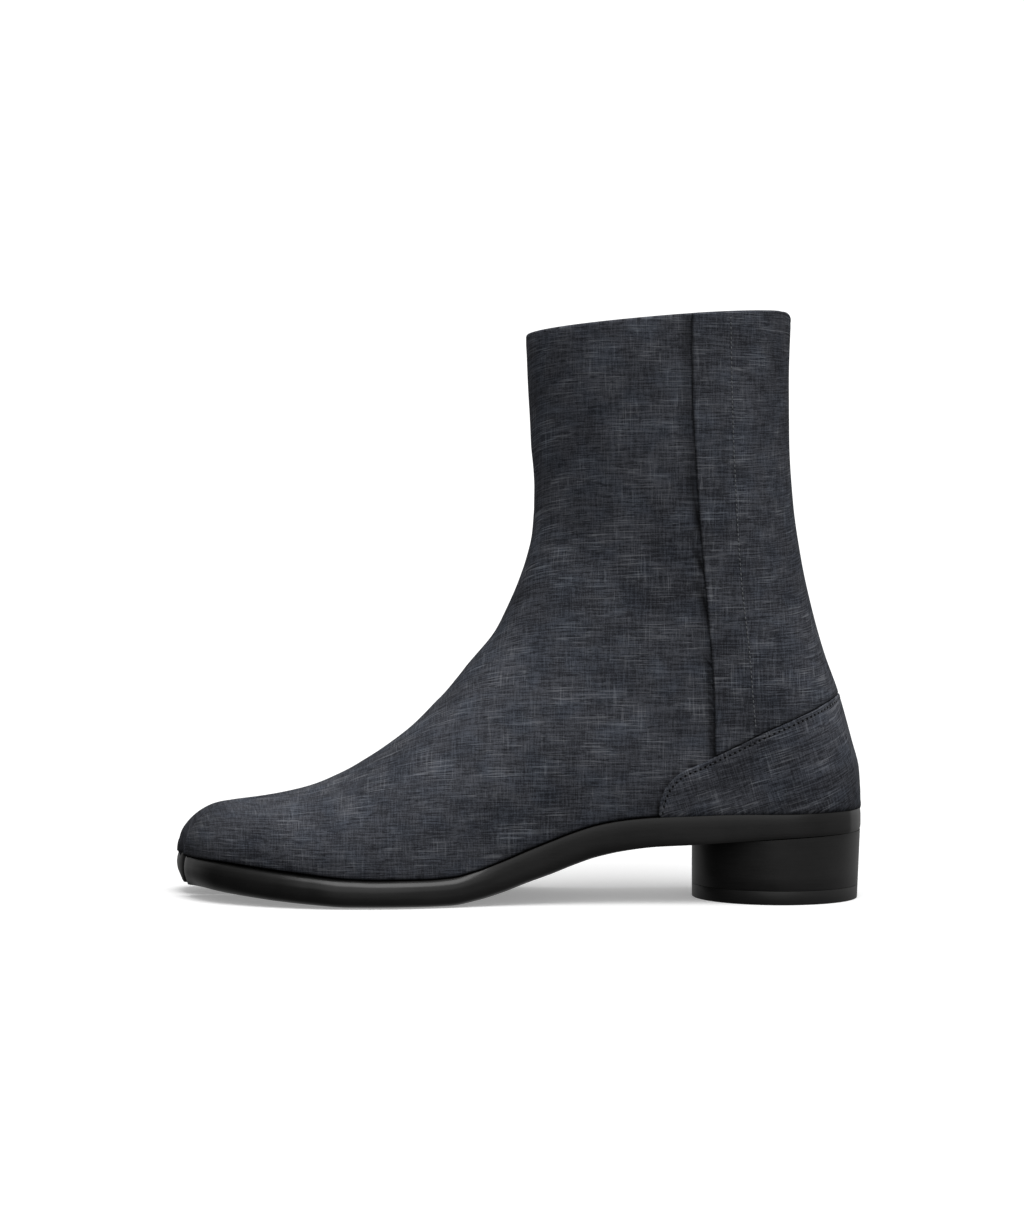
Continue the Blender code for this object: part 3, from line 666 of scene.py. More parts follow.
def new_piece(name, points, faces, materials, indices=None, layers=None, sharp=40):
    """Mesh object at the origin from points and faces, with its layers of named vectors."""
    mesh = bpy.data.meshes.new(name)
    mesh.from_pydata(np.asarray(points, float).tolist(), [], faces)
    for label, values in (layers or {}).items():
        layer = mesh.attributes.new(label, "FLOAT_VECTOR", "POINT")
        layer.data.foreach_set("vector", np.ascontiguousarray(values, np.float32).ravel())
    if indices is not None:
        mesh.polygons.foreach_set("material_index", np.asarray(indices, np.int32))
    work = bmesh.new()
    work.from_mesh(mesh)
    bmesh.ops.remove_doubles(work, verts=work.verts, dist=0.000004)
    bmesh.ops.dissolve_degenerate(work, edges=work.edges, dist=0.000002)
    bmesh.ops.recalc_face_normals(work, faces=work.faces)
    if work.calc_volume(signed=True) < 0:
        bmesh.ops.reverse_faces(work, faces=work.faces)
    work.to_mesh(mesh)
    work.free()
    mesh.shade_smooth()
    mesh.set_sharp_from_angle(angle=math.radians(sharp))
    thing = bpy.data.objects.new(name, mesh)
    bpy.context.scene.collection.objects.link(thing)
    for material in materials:
        mesh.materials.append(material)
    return thing


def make_upper(cloth, lining):
    """Upper of one cloth outside and a lining inside, joined by a rounded collar."""
    rings, open_floor = upper_rings()
    points, laid = rings[..., :3], rings[..., 3:]
    joined = np.nonzero(length_of(points[:, 0] - points[:, -1]) < HAIR)[0]
    joined = joined[joined > len(points) // 2]
    normal = normals_of(points, joined)
    pressed = fold_depth(points, FOLDS) + panel_groove(points) + split_crease(points)
    outer = points - normal * pressed[..., None]
    inner = outer - normals_of(outer, joined) * wall_depth(points, points.shape[1] // 2)
    count, size = outer.shape[:2]
    turn = np.linspace(0, math.pi, RIM_ROWS + 2)[1:-1, None, None]
    middle, reach = (outer[-1] + inner[-1]) / 2, (outer[-1] - inner[-1]) / 2
    rim = middle + reach * np.cos(turn) + np.array((0, 0, WALL / 2)) * np.sin(turn)
    every = np.concatenate((outer.reshape(-1, 3), inner.reshape(-1, 3), rim.reshape(-1, 3)))
    flat = laid.reshape(-1, 3)
    cloth_layer = np.concatenate((flat, flat, np.tile(laid[-1], (RIM_ROWS, 1))))
    under = count * size
    side = size // 2
    faces, indices = [], []
    for i in range(count - 1):
        a, b = i * size, (i + 1) * size
        cut_open = open_floor[i] and open_floor[i + 1]
        for j in range(size - 1):
            if cut_open and j in (side - 1, side):
                continue
            faces.append((a + j, b + j, b + j + 1, a + j + 1))
            indices.append(0)
            faces.append((under + a + j + 1, under + b + j + 1, under + b + j, under + a + j))
            indices.append(1)
        edges = [(0, 1), (size - 1, -1)]
        if cut_open:
            edges += [(side - 1, -1), (side + 1, 1)]
        for j, way in edges:
            quad = (a + j, under + a + j, under + b + j, b + j)
            faces.append(quad if way > 0 else quad[::-1])
            indices.append(0)
    last = (count - 1) * size
    ladder = [last] + [2 * under + k * size for k in range(RIM_ROWS)] + [under + last]
    for low, high in zip(ladder, ladder[1:]):
        for j in range(size - 1):
            faces.append((low + j, high + j, high + j + 1, low + j + 1))
            indices.append(0)
    # Painted shade on the outer cloth; none on the lining and the collar's rim.
    shade = np.concatenate((cloth_shade(points).ravel(), np.zeros(len(every) - under)))
    layers = {"cloth": cloth_layer, "shade": shade_layer(shade, 1)}
    return new_piece("upper_cloth", every, faces, (cloth, lining), indices, layers)


def slab(top, bottom):
    """Points and faces of a closed sheet between two grids of one size."""
    rows, columns = top.shape[:2]
    under = rows * columns
    faces = []
    for i in range(rows - 1):
        for j in range(columns - 1):
            a, b = i * columns + j, (i + 1) * columns + j
            quad = (a, a + 1, b + 1, b)
            faces.append(quad)
            faces.append(tuple(under + k for k in quad[::-1]))
    border = (list(range(columns - 1)) + [i * columns + columns - 1 for i in range(rows - 1)]
              + [(rows - 1) * columns + j for j in range(columns - 1, 0, -1)]
              + [i * columns for i in range(rows - 1, 0, -1)])
    for a, b in zip(border, border[1:] + border[:1]):
        faces.append((b, a, under + a, under + b))
    return np.concatenate((top.reshape(-1, 3), bottom.reshape(-1, 3))), faces


def laid_on_last(x, z):
    """Both sides of a layer whose side view is given, columns running to the heel's back."""
    row, v = row_through(x, z)
    outer = np.concatenate((last_point(row, v, -1), cloth_place(row, v, -1)), -1)
    inner = np.concatenate((last_point(row, v, 1), cloth_place(row, v, 1)), -1)
    return np.concatenate((outer, inner[:, -2::-1]), 1)


def both_sides(values):
    """The values of the outer side, then the same ones mirrored for the inner side."""
    return np.concatenate((values, values[:, -2::-1]), 1)


def edge_height(distance, thickness):
    """Height of a layer over the cloth below: rounded at its edge, pressed in by the seam."""
    seam = np.exp(-((distance - SEAM_INSET) / SEAM_HALF) ** 2)
    return thickness * (0.25 + 0.75 * rounding(distance, LAYER_ROUND)) - SEAM_PRESS * seam


def make_rear_panel(cloth):
    """Panel that wraps the back of the shaft, above the counter."""
    base = float(seat_height(0.0))
    collar = row_ends(np.array([LAST_ROW]))
    down, steps = np.array(COLLAR_STEPS) * MM, np.array(EDGE_STEPS) * MM
    step_count = len(steps)
    rest = (1 - np.linspace(0, 1, PANEL_COLUMNS)[1:]) ** 1.8
    x = np.full((PANEL_ROWS + len(down), step_count + PANEL_COLUMNS - 1), place_x(0.15))
    for _ in range(12):
        counter = smooth(share_x(x), COUNTER_EDGE["x"][::-1], COUNTER_EDGE["h"][::-1])
        low = base + counter * SHAFT_HEIGHT + PANEL_FOOT_GAP
        along = (x - collar[0]) / (collar[2] - collar[0])
        high = collar[1] + (collar[3] - collar[1]) * along - PANEL_TOP_GAP - collar_drop(x)
        z = low + (high - down[-1] - low) * panel_shares(down, low, high)
        front = panel_front(z)
        width = back_place(z) - front
        x = np.concatenate((front[:, :step_count] + steps,
                            back_place(z[:, step_count:]) - (width[:, step_count:] - steps[-1]) * rest), 1)
    laid = laid_on_last(x, z)
    points, cloth_layer = laid[..., :3], laid[..., 3:] + np.array((0.137, 0.071, 0))
    distance = np.minimum(x - front, np.minimum(high - z, 3 * (z - low) + 0.4 * MM))
    height = both_sides(edge_height(distance, PANEL_THICKNESS))
    normal = -normals_of(points)
    top = points + normal * (LAYER_GAP + height)[..., None]
    bottom = points + normal * (LAYER_GAP * 0.6)
    every, faces = slab(top, bottom)
    # Painted shade on the panel beside the counter's edge and along its own rolled front edge.
    beside_counter = soft_shade(line_gap(points, COUNTER_EDGE), "counter")
    rolled_edge_shade = 0.55 * np.exp(-(both_sides(x - front) / (0.8 * MM)) ** 2)
    layers = {"cloth": np.tile(cloth_layer.reshape(-1, 3), (2, 1)),
              "shade": shade_layer(1 - (1 - beside_counter) * (1 - rolled_edge_shade), 2)}
    return new_piece("rear_panel_cloth", every, faces, (cloth,), None, layers)


def panel_shares(down, low, high):
    """Shares of the panel's height: even ones, then a few close under the collar."""
    rows = np.concatenate((np.linspace(0, 1, PANEL_ROWS), np.ones(len(down))))
    shares = np.broadcast_to(rows[:, None], low.shape).copy()
    room = (high - low)[-len(down):] - down[-1]
    shares[-len(down):] = 1 + (down[-1] - down[::-1])[:, None] / room
    shares[-len(down)] = 1 + HAIR
    return shares


def make_counter(cloth):
    """Heel counter: columns leave its stitched edge squarely and run down to the seat."""
    base = float(seat_height(0.0))
    edge_x = place_x(COUNTER_EDGE["x"])
    edge_z = base + np.array(COUNTER_EDGE["h"]) * SHAFT_HEIGHT
    fine = np.linspace(0, len(edge_x) - 1, 1500)
    fine_x, fine_z = (smooth(fine, np.arange(len(edge_x)), e) for e in (edge_x, edge_z))
    on = (fine_z > seat_height(fine_x) + CLEARANCE) & (fine_x < back_place(fine_z))
    fine_x, fine_z = fine_x[on], fine_z[on]
    run = np.concatenate(([0], np.cumsum(np.hypot(np.diff(fine_x), np.diff(fine_z)))))
    q = 1 - (1 - np.linspace(0, 1, COUNTER_COLUMNS)) ** 1.8
    ex, ez = np.interp(q * run[-1], run, fine_x), np.interp(q * run[-1], run, fine_z)
    ex[-1] = back_place(ez[-1])
    foot_from, foot_to = fine_x[0], float(back_place(BACK_Z[0]))
    bx = foot_from + (foot_to - foot_from) * q
    back = back_place(ez)
    bx = np.minimum(bx, back_place(np.maximum(seat_height(bx), BACK_Z[0])))
    bz = seat_height(bx) + CLEARANCE
    tx, tz = np.gradient(ex), np.gradient(ez)
    size = np.hypot(tx, tz)
    nx, nz = np.abs(tz) / size * ease(back - ex, 0, 26 * MM), -tx / size
    reach = 0.4 * np.hypot(bx - ex, bz - ez)
    cx, cz = ex + nx * reach, ez + nz * reach
    t = np.linspace(0, 1, 120)[:, None]
    line_x = ex * (1 - t) ** 2 + 2 * cx * t * (1 - t) + bx * t * t
    line_z = ez * (1 - t) ** 2 + 2 * cz * t * (1 - t) + bz * t * t
    steps = np.array(EDGE_STEPS) * MM
    rest = np.linspace(0, 1, COUNTER_ROWS + 1)[1:]
    x, z, distance = [], [], []
    for k in range(len(q)):
        pieces = np.hypot(np.diff(line_x[:, k]), np.diff(line_z[:, k]))
        far = np.concatenate(([0], np.cumsum(pieces)))
        near = steps * min(1, far[-1] / (2.5 * steps[-1]))
        places = np.concatenate((near, near[-1] + (far[-1] - near[-1]) * rest))
        x.append(np.interp(places, far, line_x[:, k]))
        z.append(np.interp(places, far, line_z[:, k]))
        distance.append(places)
    x, z, distance = (np.array(a).T for a in (x, z, distance))
    z = np.maximum(z, seat_height(x) + CLEARANCE)
    x = np.minimum(x, back_place(np.maximum(z, BACK_Z[0])))
    x[:, -1] = back_place(np.maximum(z[:, -1], BACK_Z[0]))
    laid = laid_on_last(x, z)
    points, flat = laid[..., :3], laid[..., 3:]
    turn = math.radians(COUNTER_WEAVE_TURN)
    cloth_layer = np.stack((flat[..., 0] * math.cos(turn) + flat[..., 1] * math.sin(turn) + 0.31,
                            flat[..., 1] * math.cos(turn) - flat[..., 0] * math.sin(turn) + 0.17,
                            flat[..., 2]), -1)
    normal = normals_of(points)
    height = both_sides(edge_height(distance, COUNTER_THICKNESS)) - fold_depth(points, COUNTER_FOLDS)
    top = points + normal * (LAYER_GAP + height)[..., None]
    bottom = points + normal * (LAYER_GAP * 0.6)
    seam_row = int(np.argmin(np.abs(steps - SEAM_INSET)))
    seam_line = top[seam_row]
    along = np.concatenate(([0], np.cumsum(length_of(np.diff(seam_line, axis=0)))))
    count = round(along[-1] / STITCH_PITCH)
    seam = np.stack((np.broadcast_to(along / along[-1] * count, height.shape),
                     both_sides(distance - SEAM_INSET), np.zeros(height.shape)), -1)
    every, faces = slab(top, bottom)
    # Painted shade on the counter just above the sole.
    shade = soft_shade(np.maximum(points[..., 2] - seat_height(points[..., 0]), 0), "counter_foot")
    layers = {"cloth": np.tile(cloth_layer.reshape(-1, 3), (2, 1)),
              "seam": np.tile(seam.reshape(-1, 3), (2, 1)), "shade": shade_layer(shade, 2)}
    thing = new_piece("heel_counter_cloth", every, faces, (cloth,), None, layers)
    return thing, seam_line + normal[seam_row] * 0.06 * MM, count


# Sole, insole and heel

SOLE_STATIONS = 230


def sole_outline():
    """Plan outline of the sole with its split.

    Returns its points, how much each of them is on the split's walls, and the flat faces
    that span it, as indices of the points."""
    turn = np.linspace(0, math.pi, SOLE_STATIONS)
    x = place_x(((1 - np.cos(turn)) / 2 * 0.55 + turn / math.pi * 0.45) * PLAN["x"][-1])
    front = x[-1]
    root = front + SOLE_SPLIT_LENGTH
    split_x = front + SOLE_SPLIT_LENGTH * (1 - np.linspace(0, 1, 90) ** 1.5)
    x = np.concatenate((x[x > root], split_x))
    start = len(x) - len(split_x)
    back = rounding(HEEL_OVERHANG - x, HEEL_OVERHANG * BACK_ROUND)
    back[0] = BACK_FLAT
    half, mid = plan(x, "half") * back, plan(x, "mid")
    wall = (SOLE_SPLIT_WIDTH / 2 * rounding(root - x, SPLIT_TAPER)
            + SPLIT_ROUND * (1 - rounding(x - front, SPLIT_ROUND)))
    outer, inner = mid - half, mid + half
    left, right = SPLIT_Y - wall, SPLIT_Y + wall
    last_left = int(np.nonzero(outer < left - 0.3 * MM)[0][-1])
    last_right = int(np.nonzero(inner > right + 0.3 * MM)[0][-1])
    line, walls = [], []

    def add(px, py, wall_point):
        line.append((px, py))
        walls.append(wall_point)
        return len(line) - 1

    a = [add(x[k], outer[k], 0) for k in range(last_left + 1)]
    b = [add(x[k], left[k], 1) for k in range(last_left, start, -1)][::-1]
    root_index = add(x[start], SPLIT_Y, 1)
    c = [add(x[k], right[k], 1) for k in range(start + 1, last_right + 1)]
    d = [add(x[k], inner[k], 0) for k in range(last_right, -1, -1)][::-1]
    faces = [(a[k], a[k + 1], d[k + 1], d[k]) for k in range(start - 1)]
    faces.append((a[start - 1], a[start], root_index, d[start], d[start - 1]))
    faces.append((a[start], a[start + 1], b[0], root_index))
    faces.append((root_index, c[0], d[start + 1], d[start]))
    faces += [(a[start + 1 + k], a[start + 2 + k], b[k + 1], b[k])
              for k in range(last_left - start - 1)]
    faces += [(c[k], c[k + 1], d[start + 2 + k], d[start + 1 + k])
              for k in range(last_right - start - 1)]
    line = np.array(line)
    line = np.stack((slant(line[:, 0], line[:, 1]), line[:, 1]), 1)
    walls = np.array(walls, float)
    tip = ease(share_x(line[:, 0]), 0.955, 0.985)[:, None]
    for pull in TIP_PULLS:
        between = (np.roll(line, 1, 0) + np.roll(line, -1, 0)) / 2
        line = line + (between - line) * pull * tip
    for _ in range(6):
        walls = (np.roll(walls, 1) + walls + np.roll(walls, -1)) / 3
    return line, walls, faces


def outline_normals(line):
    tangent = np.roll(line, -1, 0) - np.roll(line, 1, 0)
    normal = np.stack((tangent[:, 1], -tangent[:, 0]), 1)
    normal /= length_of(normal)[:, None]
    area = (line[:, 0] * np.roll(line[:, 1], -1) - np.roll(line[:, 0], -1) * line[:, 1]).sum()
    return normal if area > 0 else -normal


def plate(name, rings, flat_faces, material, sharp=40):
    """Closed plate from outlines stacked upwards, closed by flat faces on both ends."""
    count, size = rings.shape[:2]
    faces = [tuple(f) for f in flat_faces]
    faces += [tuple((count - 1) * size + k for k in f[::-1]) for f in flat_faces]
    for i in range(count - 1):
        for j in range(size):
            k = (j + 1) % size
            faces.append((i * size + j, i * size + k, (i + 1) * size + k, (i + 1) * size + j))
    return new_piece(name, rings.reshape(-1, 3), faces, (material,), sharp=sharp)


def make_sole(leather, insole_leather):
    """Sole with its rounded and undercut edges, and the board that lies in the boot."""
    line, walls, flat_faces = sole_outline()
    normal = outline_normals(line)
    share = share_x(line[:, 0])
    full = {name: smooth(share, SOLE_ROUNDS["x"], SOLE_ROUNDS[name]) for name in SOLE_ROUNDS}
    fullness = np.clip(share / 0.03, 0, 1)
    levels = np.concatenate((np.linspace(0, 0.12, 7), np.linspace(0.16, 0.6, 8),
                             np.linspace(0.64, 1, 16)))
    rings = []
    for level in levels:
        tread_in, toe_in, seat_in = (smooth(level, SOLE_EDGE["level"], SOLE_EDGE[c])
                                     for c in ("tread", "toe", "seat"))
        out = (SOLE_LIP * full["lip"] * fullness * (1 - walls)
               - tread_in * full["tread"] * TREAD_ROUND * (1 - 0.9 * walls)
               - toe_in * full["toe"] * TOE_UNDERCUT * (1 - walls)
               - seat_in * full["seat"] * EDGE_ROUND * (1 - 0.75 * walls))
        edge = line + normal * out[:, None]
        tread, seat = tread_height(edge[:, 0]), seat_height(edge[:, 0])
        rings.append(np.column_stack((edge, tread + (seat - tread) * level)))
    sole = plate("leather_sole", np.array(rings), flat_faces, leather, 60)
    inside = []
    for level, inset in ((0.0, 0.3), (1.0, 0.3), (1.0, 0.8)):
        edge = line - normal * (WALL + CLEARANCE + FEATHER_ROUND + inset * MM)
        z = seat_height(edge[:, 0]) + CLEARANCE + INSOLE_THICKNESS * level
        inside.append(np.column_stack((edge, z)))
    return sole, plate("insole_leather_board", np.array(inside), flat_faces, insole_leather)


def turned_block(name, levels, material):
    """Round block from rings of (inset, height), the height a number or a function of x.

    Its back leans out a little towards the sole, as the heel is trimmed flush with it."""
    angle = np.linspace(0, 2 * math.pi, HEEL_POINTS, endpoint=False)
    rings = []
    for inset, height in levels:
        radius = HEEL_DIAMETER / 2 - inset
        x, y = radius * np.cos(angle), radius * np.sin(angle)
        z = height(x) if callable(height) else np.full_like(x, height)
        x = x + HEEL_LEAN * (0.3 + z / HEEL_HEIGHT) * (1 + np.cos(angle)) / 2
        rings.append(np.stack((x, y, z), 1))
    rings = np.array(rings)
    count, size = rings.shape[:2]
    faces = [(a + j, a + (j + 1) % size, a + size + (j + 1) % size, a + size + j)
             for a in range(0, (count - 1) * size, size) for j in range(size)]
    faces += [tuple(range(size))[::-1], tuple((count - 1) * size + j for j in range(size))]
    return new_piece(name, rings.reshape(-1, 3), faces, (material,))


def make_heel(leather, rubber):
    """Stacked heel, cut to the slope of the sole, and the top piece under it."""
    bevel, radius = HEEL_BEVEL, HEEL_DIAMETER / 2
    foot = TOP_PIECE + CLEARANCE

    def below_sole(share):
        return lambda x: foot + bevel + (tread_height(x) - CLEARANCE - foot - bevel) * share

    levels = [(radius * 0.5, foot), (bevel, foot), (bevel * 0.3, foot + bevel * 0.3), (0, foot + bevel)]
    levels += [(0, below_sole(s)) for s in (0.25, 0.5, 0.75, 0.9, 0.98)]
    levels += [(radius * share, lambda x: tread_height(x) - CLEARANCE) for share in (0.0, 0.3, 0.6, 0.9)]
    heel = turned_block("stacked_heel", levels, leather)
    top = TOP_PIECE + TOP_PIECE_LIFT * CLEARANCE
    piece = [(radius * 0.6, 0.0), (0.25 * MM, 0.0), (0.07 * MM, 0.1 * MM), (0, 0.3 * MM),
             (0, top - bevel), (bevel * 0.3, top - bevel * 0.3), (bevel, top), (radius * 0.6, top)]
    return heel, turned_block("rubber_top_piece", piece, rubber)


# Node graphs


class Wire:
    """One output of a node graph, which takes part in plain arithmetic."""

    def __init__(self, tree, socket=None):
        self.tree, self.socket = tree, socket

    def node(self, kind, inputs=None, output=0, **settings):
        """Add a node: its settings first, then the values or wires of its inputs."""
        node = self.tree.nodes.new(kind)
        for key, value in settings.items():
            setattr(node, key, value)
        for key, value in (inputs or {}).items():
            if isinstance(value, Wire):
                self.tree.links.new(value.socket, node.inputs[key])
            else:
                node.inputs[key].default_value = value
        return Wire(self.tree, node.outputs[output])

    def maths(self, operation, *values):
        return self.node("ShaderNodeMath", dict(enumerate(values)), operation=operation)

    def __add__(self, other):
        return self.maths("ADD", self, other)

    def __sub__(self, other):
        return self.maths("SUBTRACT", self, other)

    def __rsub__(self, other):
        return self.maths("SUBTRACT", other, self)

    def __mul__(self, other):
        return self.maths("MULTIPLY", self, other)

    def __truediv__(self, other):
        return self.maths("DIVIDE", self, other)

    def __pow__(self, other):
        return self.maths("POWER", self, other)

    __radd__ = __add__
    __rmul__ = __mul__

    def step(self, low, high):
        """0 below low and 1 above high, with a soft step between."""
        return self.node("ShaderNodeMapRange", {"Value": self, "From Min": low, "From Max": high},
                         interpolation_type="SMOOTHSTEP")

    def blend(self, low, high):
        """Mix of two colours, or of wires that carry them, by this factor."""
        return self.node("ShaderNodeMix", {0: self, 6: low, 7: high}, 2, data_type="RGBA")


def new_material(name):
    """Material with its wire, for adding nodes, and its shader."""
    material = bpy.data.materials.new(name)
    material.use_nodes = True
    tree = material.node_tree
    return material, Wire(tree), tree.nodes["Principled BSDF"]


def finish_shader(wire, shader, **values):
    """Set or link the shader's sockets; words are socket names with _ for a space."""
    for name, value in values.items():
        socket = shader.inputs[name.replace("_", " ")]
        if isinstance(value, Wire):
            wire.tree.links.new(value.socket, socket)
        else:
            socket.default_value = value


def noise(wire, place, detail, roughness=0.5, scale=1.0):
    return wire.node("ShaderNodeTexNoise", {"Vector": place, "Scale": scale, "Detail": detail,
                                            "Roughness": roughness}, noise_dimensions="3D")


def vector(wire, x, y, z):
    return wire.node("ShaderNodeCombineXYZ", {"X": x, "Y": y, "Z": z})


def parts_of(wire, source):
    return [wire.node("ShaderNodeSeparateXYZ", {"Vector": source}, k) for k in range(3)]


# Threads of the weave: their size along u and along w in metres, where in the pattern they
# start, and how finely they break up.
THREADS = {
    "weft": (0.0098, 0.00046, 0.0, 1.0),
    "warp": (0.00046, 0.0066, 0.0, 1.0),
    "long_weft": (0.0140, 0.00052, 7.3, 0.0),
    "long_warp": (0.00052, 0.0100, 3.1, 0.0),
    "dark_weft": (0.0040, 0.00052, 13.7, 0.0),
}
CLOTH_DARK = (0.0105, 0.0114, 0.0150, 1.0)
CLOTH_LIGHT = (0.1120, 0.1175, 0.1380, 1.0)
CLOTH_FLECK = (0.2700, 0.2800, 0.3050, 1.0)
# Colour that the cloth darkens to under its painted shade.
CLOTH_SHADOW = (0.0012, 0.0013, 0.0018, 1.0)
CLOTH_BLUE = (0.82, 0.95, 1.08, 1.0)
# Colour of the painted shade in the counter's stitch holes.
HOLE_SHADE = (0.0008, 0.0008, 0.0010, 1.0)
THREAD_COLOUR = (0.0900, 0.0940, 0.1050, 1.0)
PALE_THREAD_COLOUR = (0.1700, 0.1760, 0.1900, 1.0)
LINING_COLOUR = (0.0300, 0.0290, 0.0285, 1.0)
SOLE_COLOUR = (0.0070, 0.0068, 0.0068, 1.0)


def toned(colour, share):
    """The colour, darker or lighter by a share."""
    return tuple(share * c for c in colour[:3]) + (1.0,)


def mesh_layer(wire, name):
    """The three parts of a named vector that the mesh carries."""
    return parts_of(wire, wire.node("ShaderNodeAttribute", output=1, attribute_name=name,
                                    attribute_type="GEOMETRY"))


def slubbed_cloth(name, tone, holes=False):
    """Dark weave with slubs: long thick threads both ways, pale flecks and cloudy dye, darkened by the
    painted shade that the mesh carries.
    """
    material, wire, shader = new_material(name)
    u, w, y = mesh_layer(wire, "cloth")
    across = y / 0.020
    weft, warp, long_weft, long_warp, dark_weft = (
        noise(wire, vector(wire, u / along, w / beside, across + start), detail)
        for along, beside, start, detail in THREADS.values())
    weft, warp = weft.step(0.34, 0.66), warp.step(0.36, 0.68)
    cloud = noise(wire, vector(wire, u / 0.018, w / 0.013, y / 0.03), 3.0, 0.55)
    broad = noise(wire, vector(wire, u / 0.060, w / 0.050, y / 0.06 + 5.0), 1.0)
    fuzz = noise(wire, vector(wire, u / 0.00055, w / 0.00055, y / 0.0020), 1.0)
    tint = noise(wire, vector(wire, u / 0.012, w / 0.010, y / 0.02 + 11.0), 2.0)
    body = (0.48 * tone + (weft - 0.5) * 0.40 + (warp - 0.5) * 0.30 + (cloud - 0.5) * 0.50
            + (broad - 0.5) * 0.50 + (fuzz - 0.5) * 0.85)
    colour = body.step(-0.25, 1.25).blend(CLOTH_DARK, CLOTH_LIGHT)
    flecks = long_weft.step(0.62, 0.70) * 0.80 + long_warp.step(0.66, 0.74) * 0.50
    colour = (flecks * cloud.step(0.40, 0.58) * 0.46).blend(colour, CLOTH_FLECK)
    colour = (dark_weft.step(0.66, 0.72) * 0.60).blend(colour, CLOTH_DARK)
    blue = tint.step(0.40, 0.70) * 0.40
    colour = blue.node("ShaderNodeMix", {0: blue, 6: colour, 7: CLOTH_BLUE}, 2,
                       data_type="RGBA", blend_type="MULTIPLY")
    # Painted shade: the cloth darkens towards CLOTH_SHADOW by the mesh's shade layer.
    shade, _, _ = mesh_layer(wire, "shade")
    colour = shade.blend(colour, CLOTH_SHADOW)
    roughness = 0.92 - flecks * 0.12
    relief = weft * 0.30 + warp * 0.26 + long_weft * 0.3 + fuzz * 0.35
    if holes:
        # Stitch holes: painted shade in each hole, and a dip in the relief.
        along, beside, _ = mesh_layer(wire, "seam")
        step = (along.maths("FRACT", along + 0.5) - 0.5) * (STITCH_PITCH / MM)
        away = (step * step * 0.7 + (beside / MM) * (beside / MM)) ** 0.5
        hole = 1 - away.step(0.32, 0.52)
        colour = hole.blend(colour, HOLE_SHADE)
        relief = relief - hole * 2.0
    normal = wire.node("ShaderNodeBump", {"Height": relief, "Distance": 0.00022, "Strength": 0.85})
    finish_shader(wire, shader, Base_Color=colour, Roughness=roughness, Normal=normal,
                  Specular_IOR_Level=0.2)
    return material


def sewing_thread(name, colour):
    """Twisted matt thread, with painted shade in the grooves between its plies."""
    material, wire, shader = new_material(name)
    place = wire.node("ShaderNodeTexCoord", output=3)
    ply = noise(wire, place, 2.0, 0.6, 2600.0)
    tone = ply.step(0.3, 0.7).blend(toned(colour, 0.6), colour)
    normal = wire.node("ShaderNodeBump", {"Height": ply, "Distance": 0.00008, "Strength": 0.7})
    finish_shader(wire, shader, Base_Color=tone, Roughness=0.75, Normal=normal, Specular_IOR_Level=0.3)
    return material


def lining_leather(name, colour):
    """Plain smooth lining, with a fine pore grain and slight rub marks."""
    material, wire, shader = new_material(name)
    place = wire.node("ShaderNodeTexCoord", output=3)
    pores = wire.node("ShaderNodeTexVoronoi", {"Vector": place, "Scale": 900.0}, feature="F1")
    cloud = noise(wire, place, 3.0, 0.55, 60.0)
    tone = cloud.step(0.3, 0.7).blend(toned(colour, 0.75), colour)
    roughness = 0.62 + (cloud - 0.5) * 0.15
    normal = wire.node("ShaderNodeBump", {"Height": pores, "Distance": 0.00010, "Strength": 0.5})
    finish_shader(wire, shader, Base_Color=tone, Roughness=roughness, Normal=normal,
                  Specular_IOR_Level=0.3)
    return material


def edge_leather(name, colour, roughness, grain=1.0):
    """Painted and burnished leather: nearly black, smooth, with faint fibres along the edge."""
    material, wire, shader = new_material(name)
    place = wire.node("ShaderNodeTexCoord", output=3)
    x, y, z = parts_of(wire, place)
    fibre = noise(wire, vector(wire, x / 0.012, y / 0.012, z / 0.0006), 3.0, 0.6)
    cloud = noise(wire, place, 3.0, 0.6, 45.0)
    speck = noise(wire, place, 1.0, 0.5, 1800.0)
    tone = (fibre * 0.4 + cloud * 0.6).step(0.35, 0.65)
    colour = tone.blend(toned(colour, 0.7), toned(colour, 1.35))
    rough = roughness + (cloud - 0.5) * 0.18 + (fibre - 0.5) * 0.06
    relief = fibre * 0.4 + speck * 0.35 + cloud * 0.6
    normal = wire.node("ShaderNodeBump", {"Height": relief, "Distance": 0.00012 * grain, "Strength": 0.35})
    finish_shader(wire, shader, Base_Color=colour, Roughness=rough, Normal=normal,
                  Specular_IOR_Level=0.40, Coat_Roughness=0.22, Coat_Weight=0.10 + (cloud - 0.5) * 0.1)
    return material


def floor_paper(name):
    """White paper, lit from below a little, so that its shadows stay light."""
    material, wire, shader = new_material(name)
    place = wire.node("ShaderNodeTexCoord", output=3)
    cloud = noise(wire, place, 2.0, 0.5, 3.0)
    colour = cloud.blend((0.92, 0.92, 0.92, 1.0), (0.94, 0.94, 0.94, 1.0))
    finish_shader(wire, shader, Base_Color=colour, Roughness=0.8, Specular_IOR_Level=0.1,
                  Emission_Color=(1.0, 1.0, 1.0, 1.0), Emission_Strength=0.27)
    return material


# Stitches


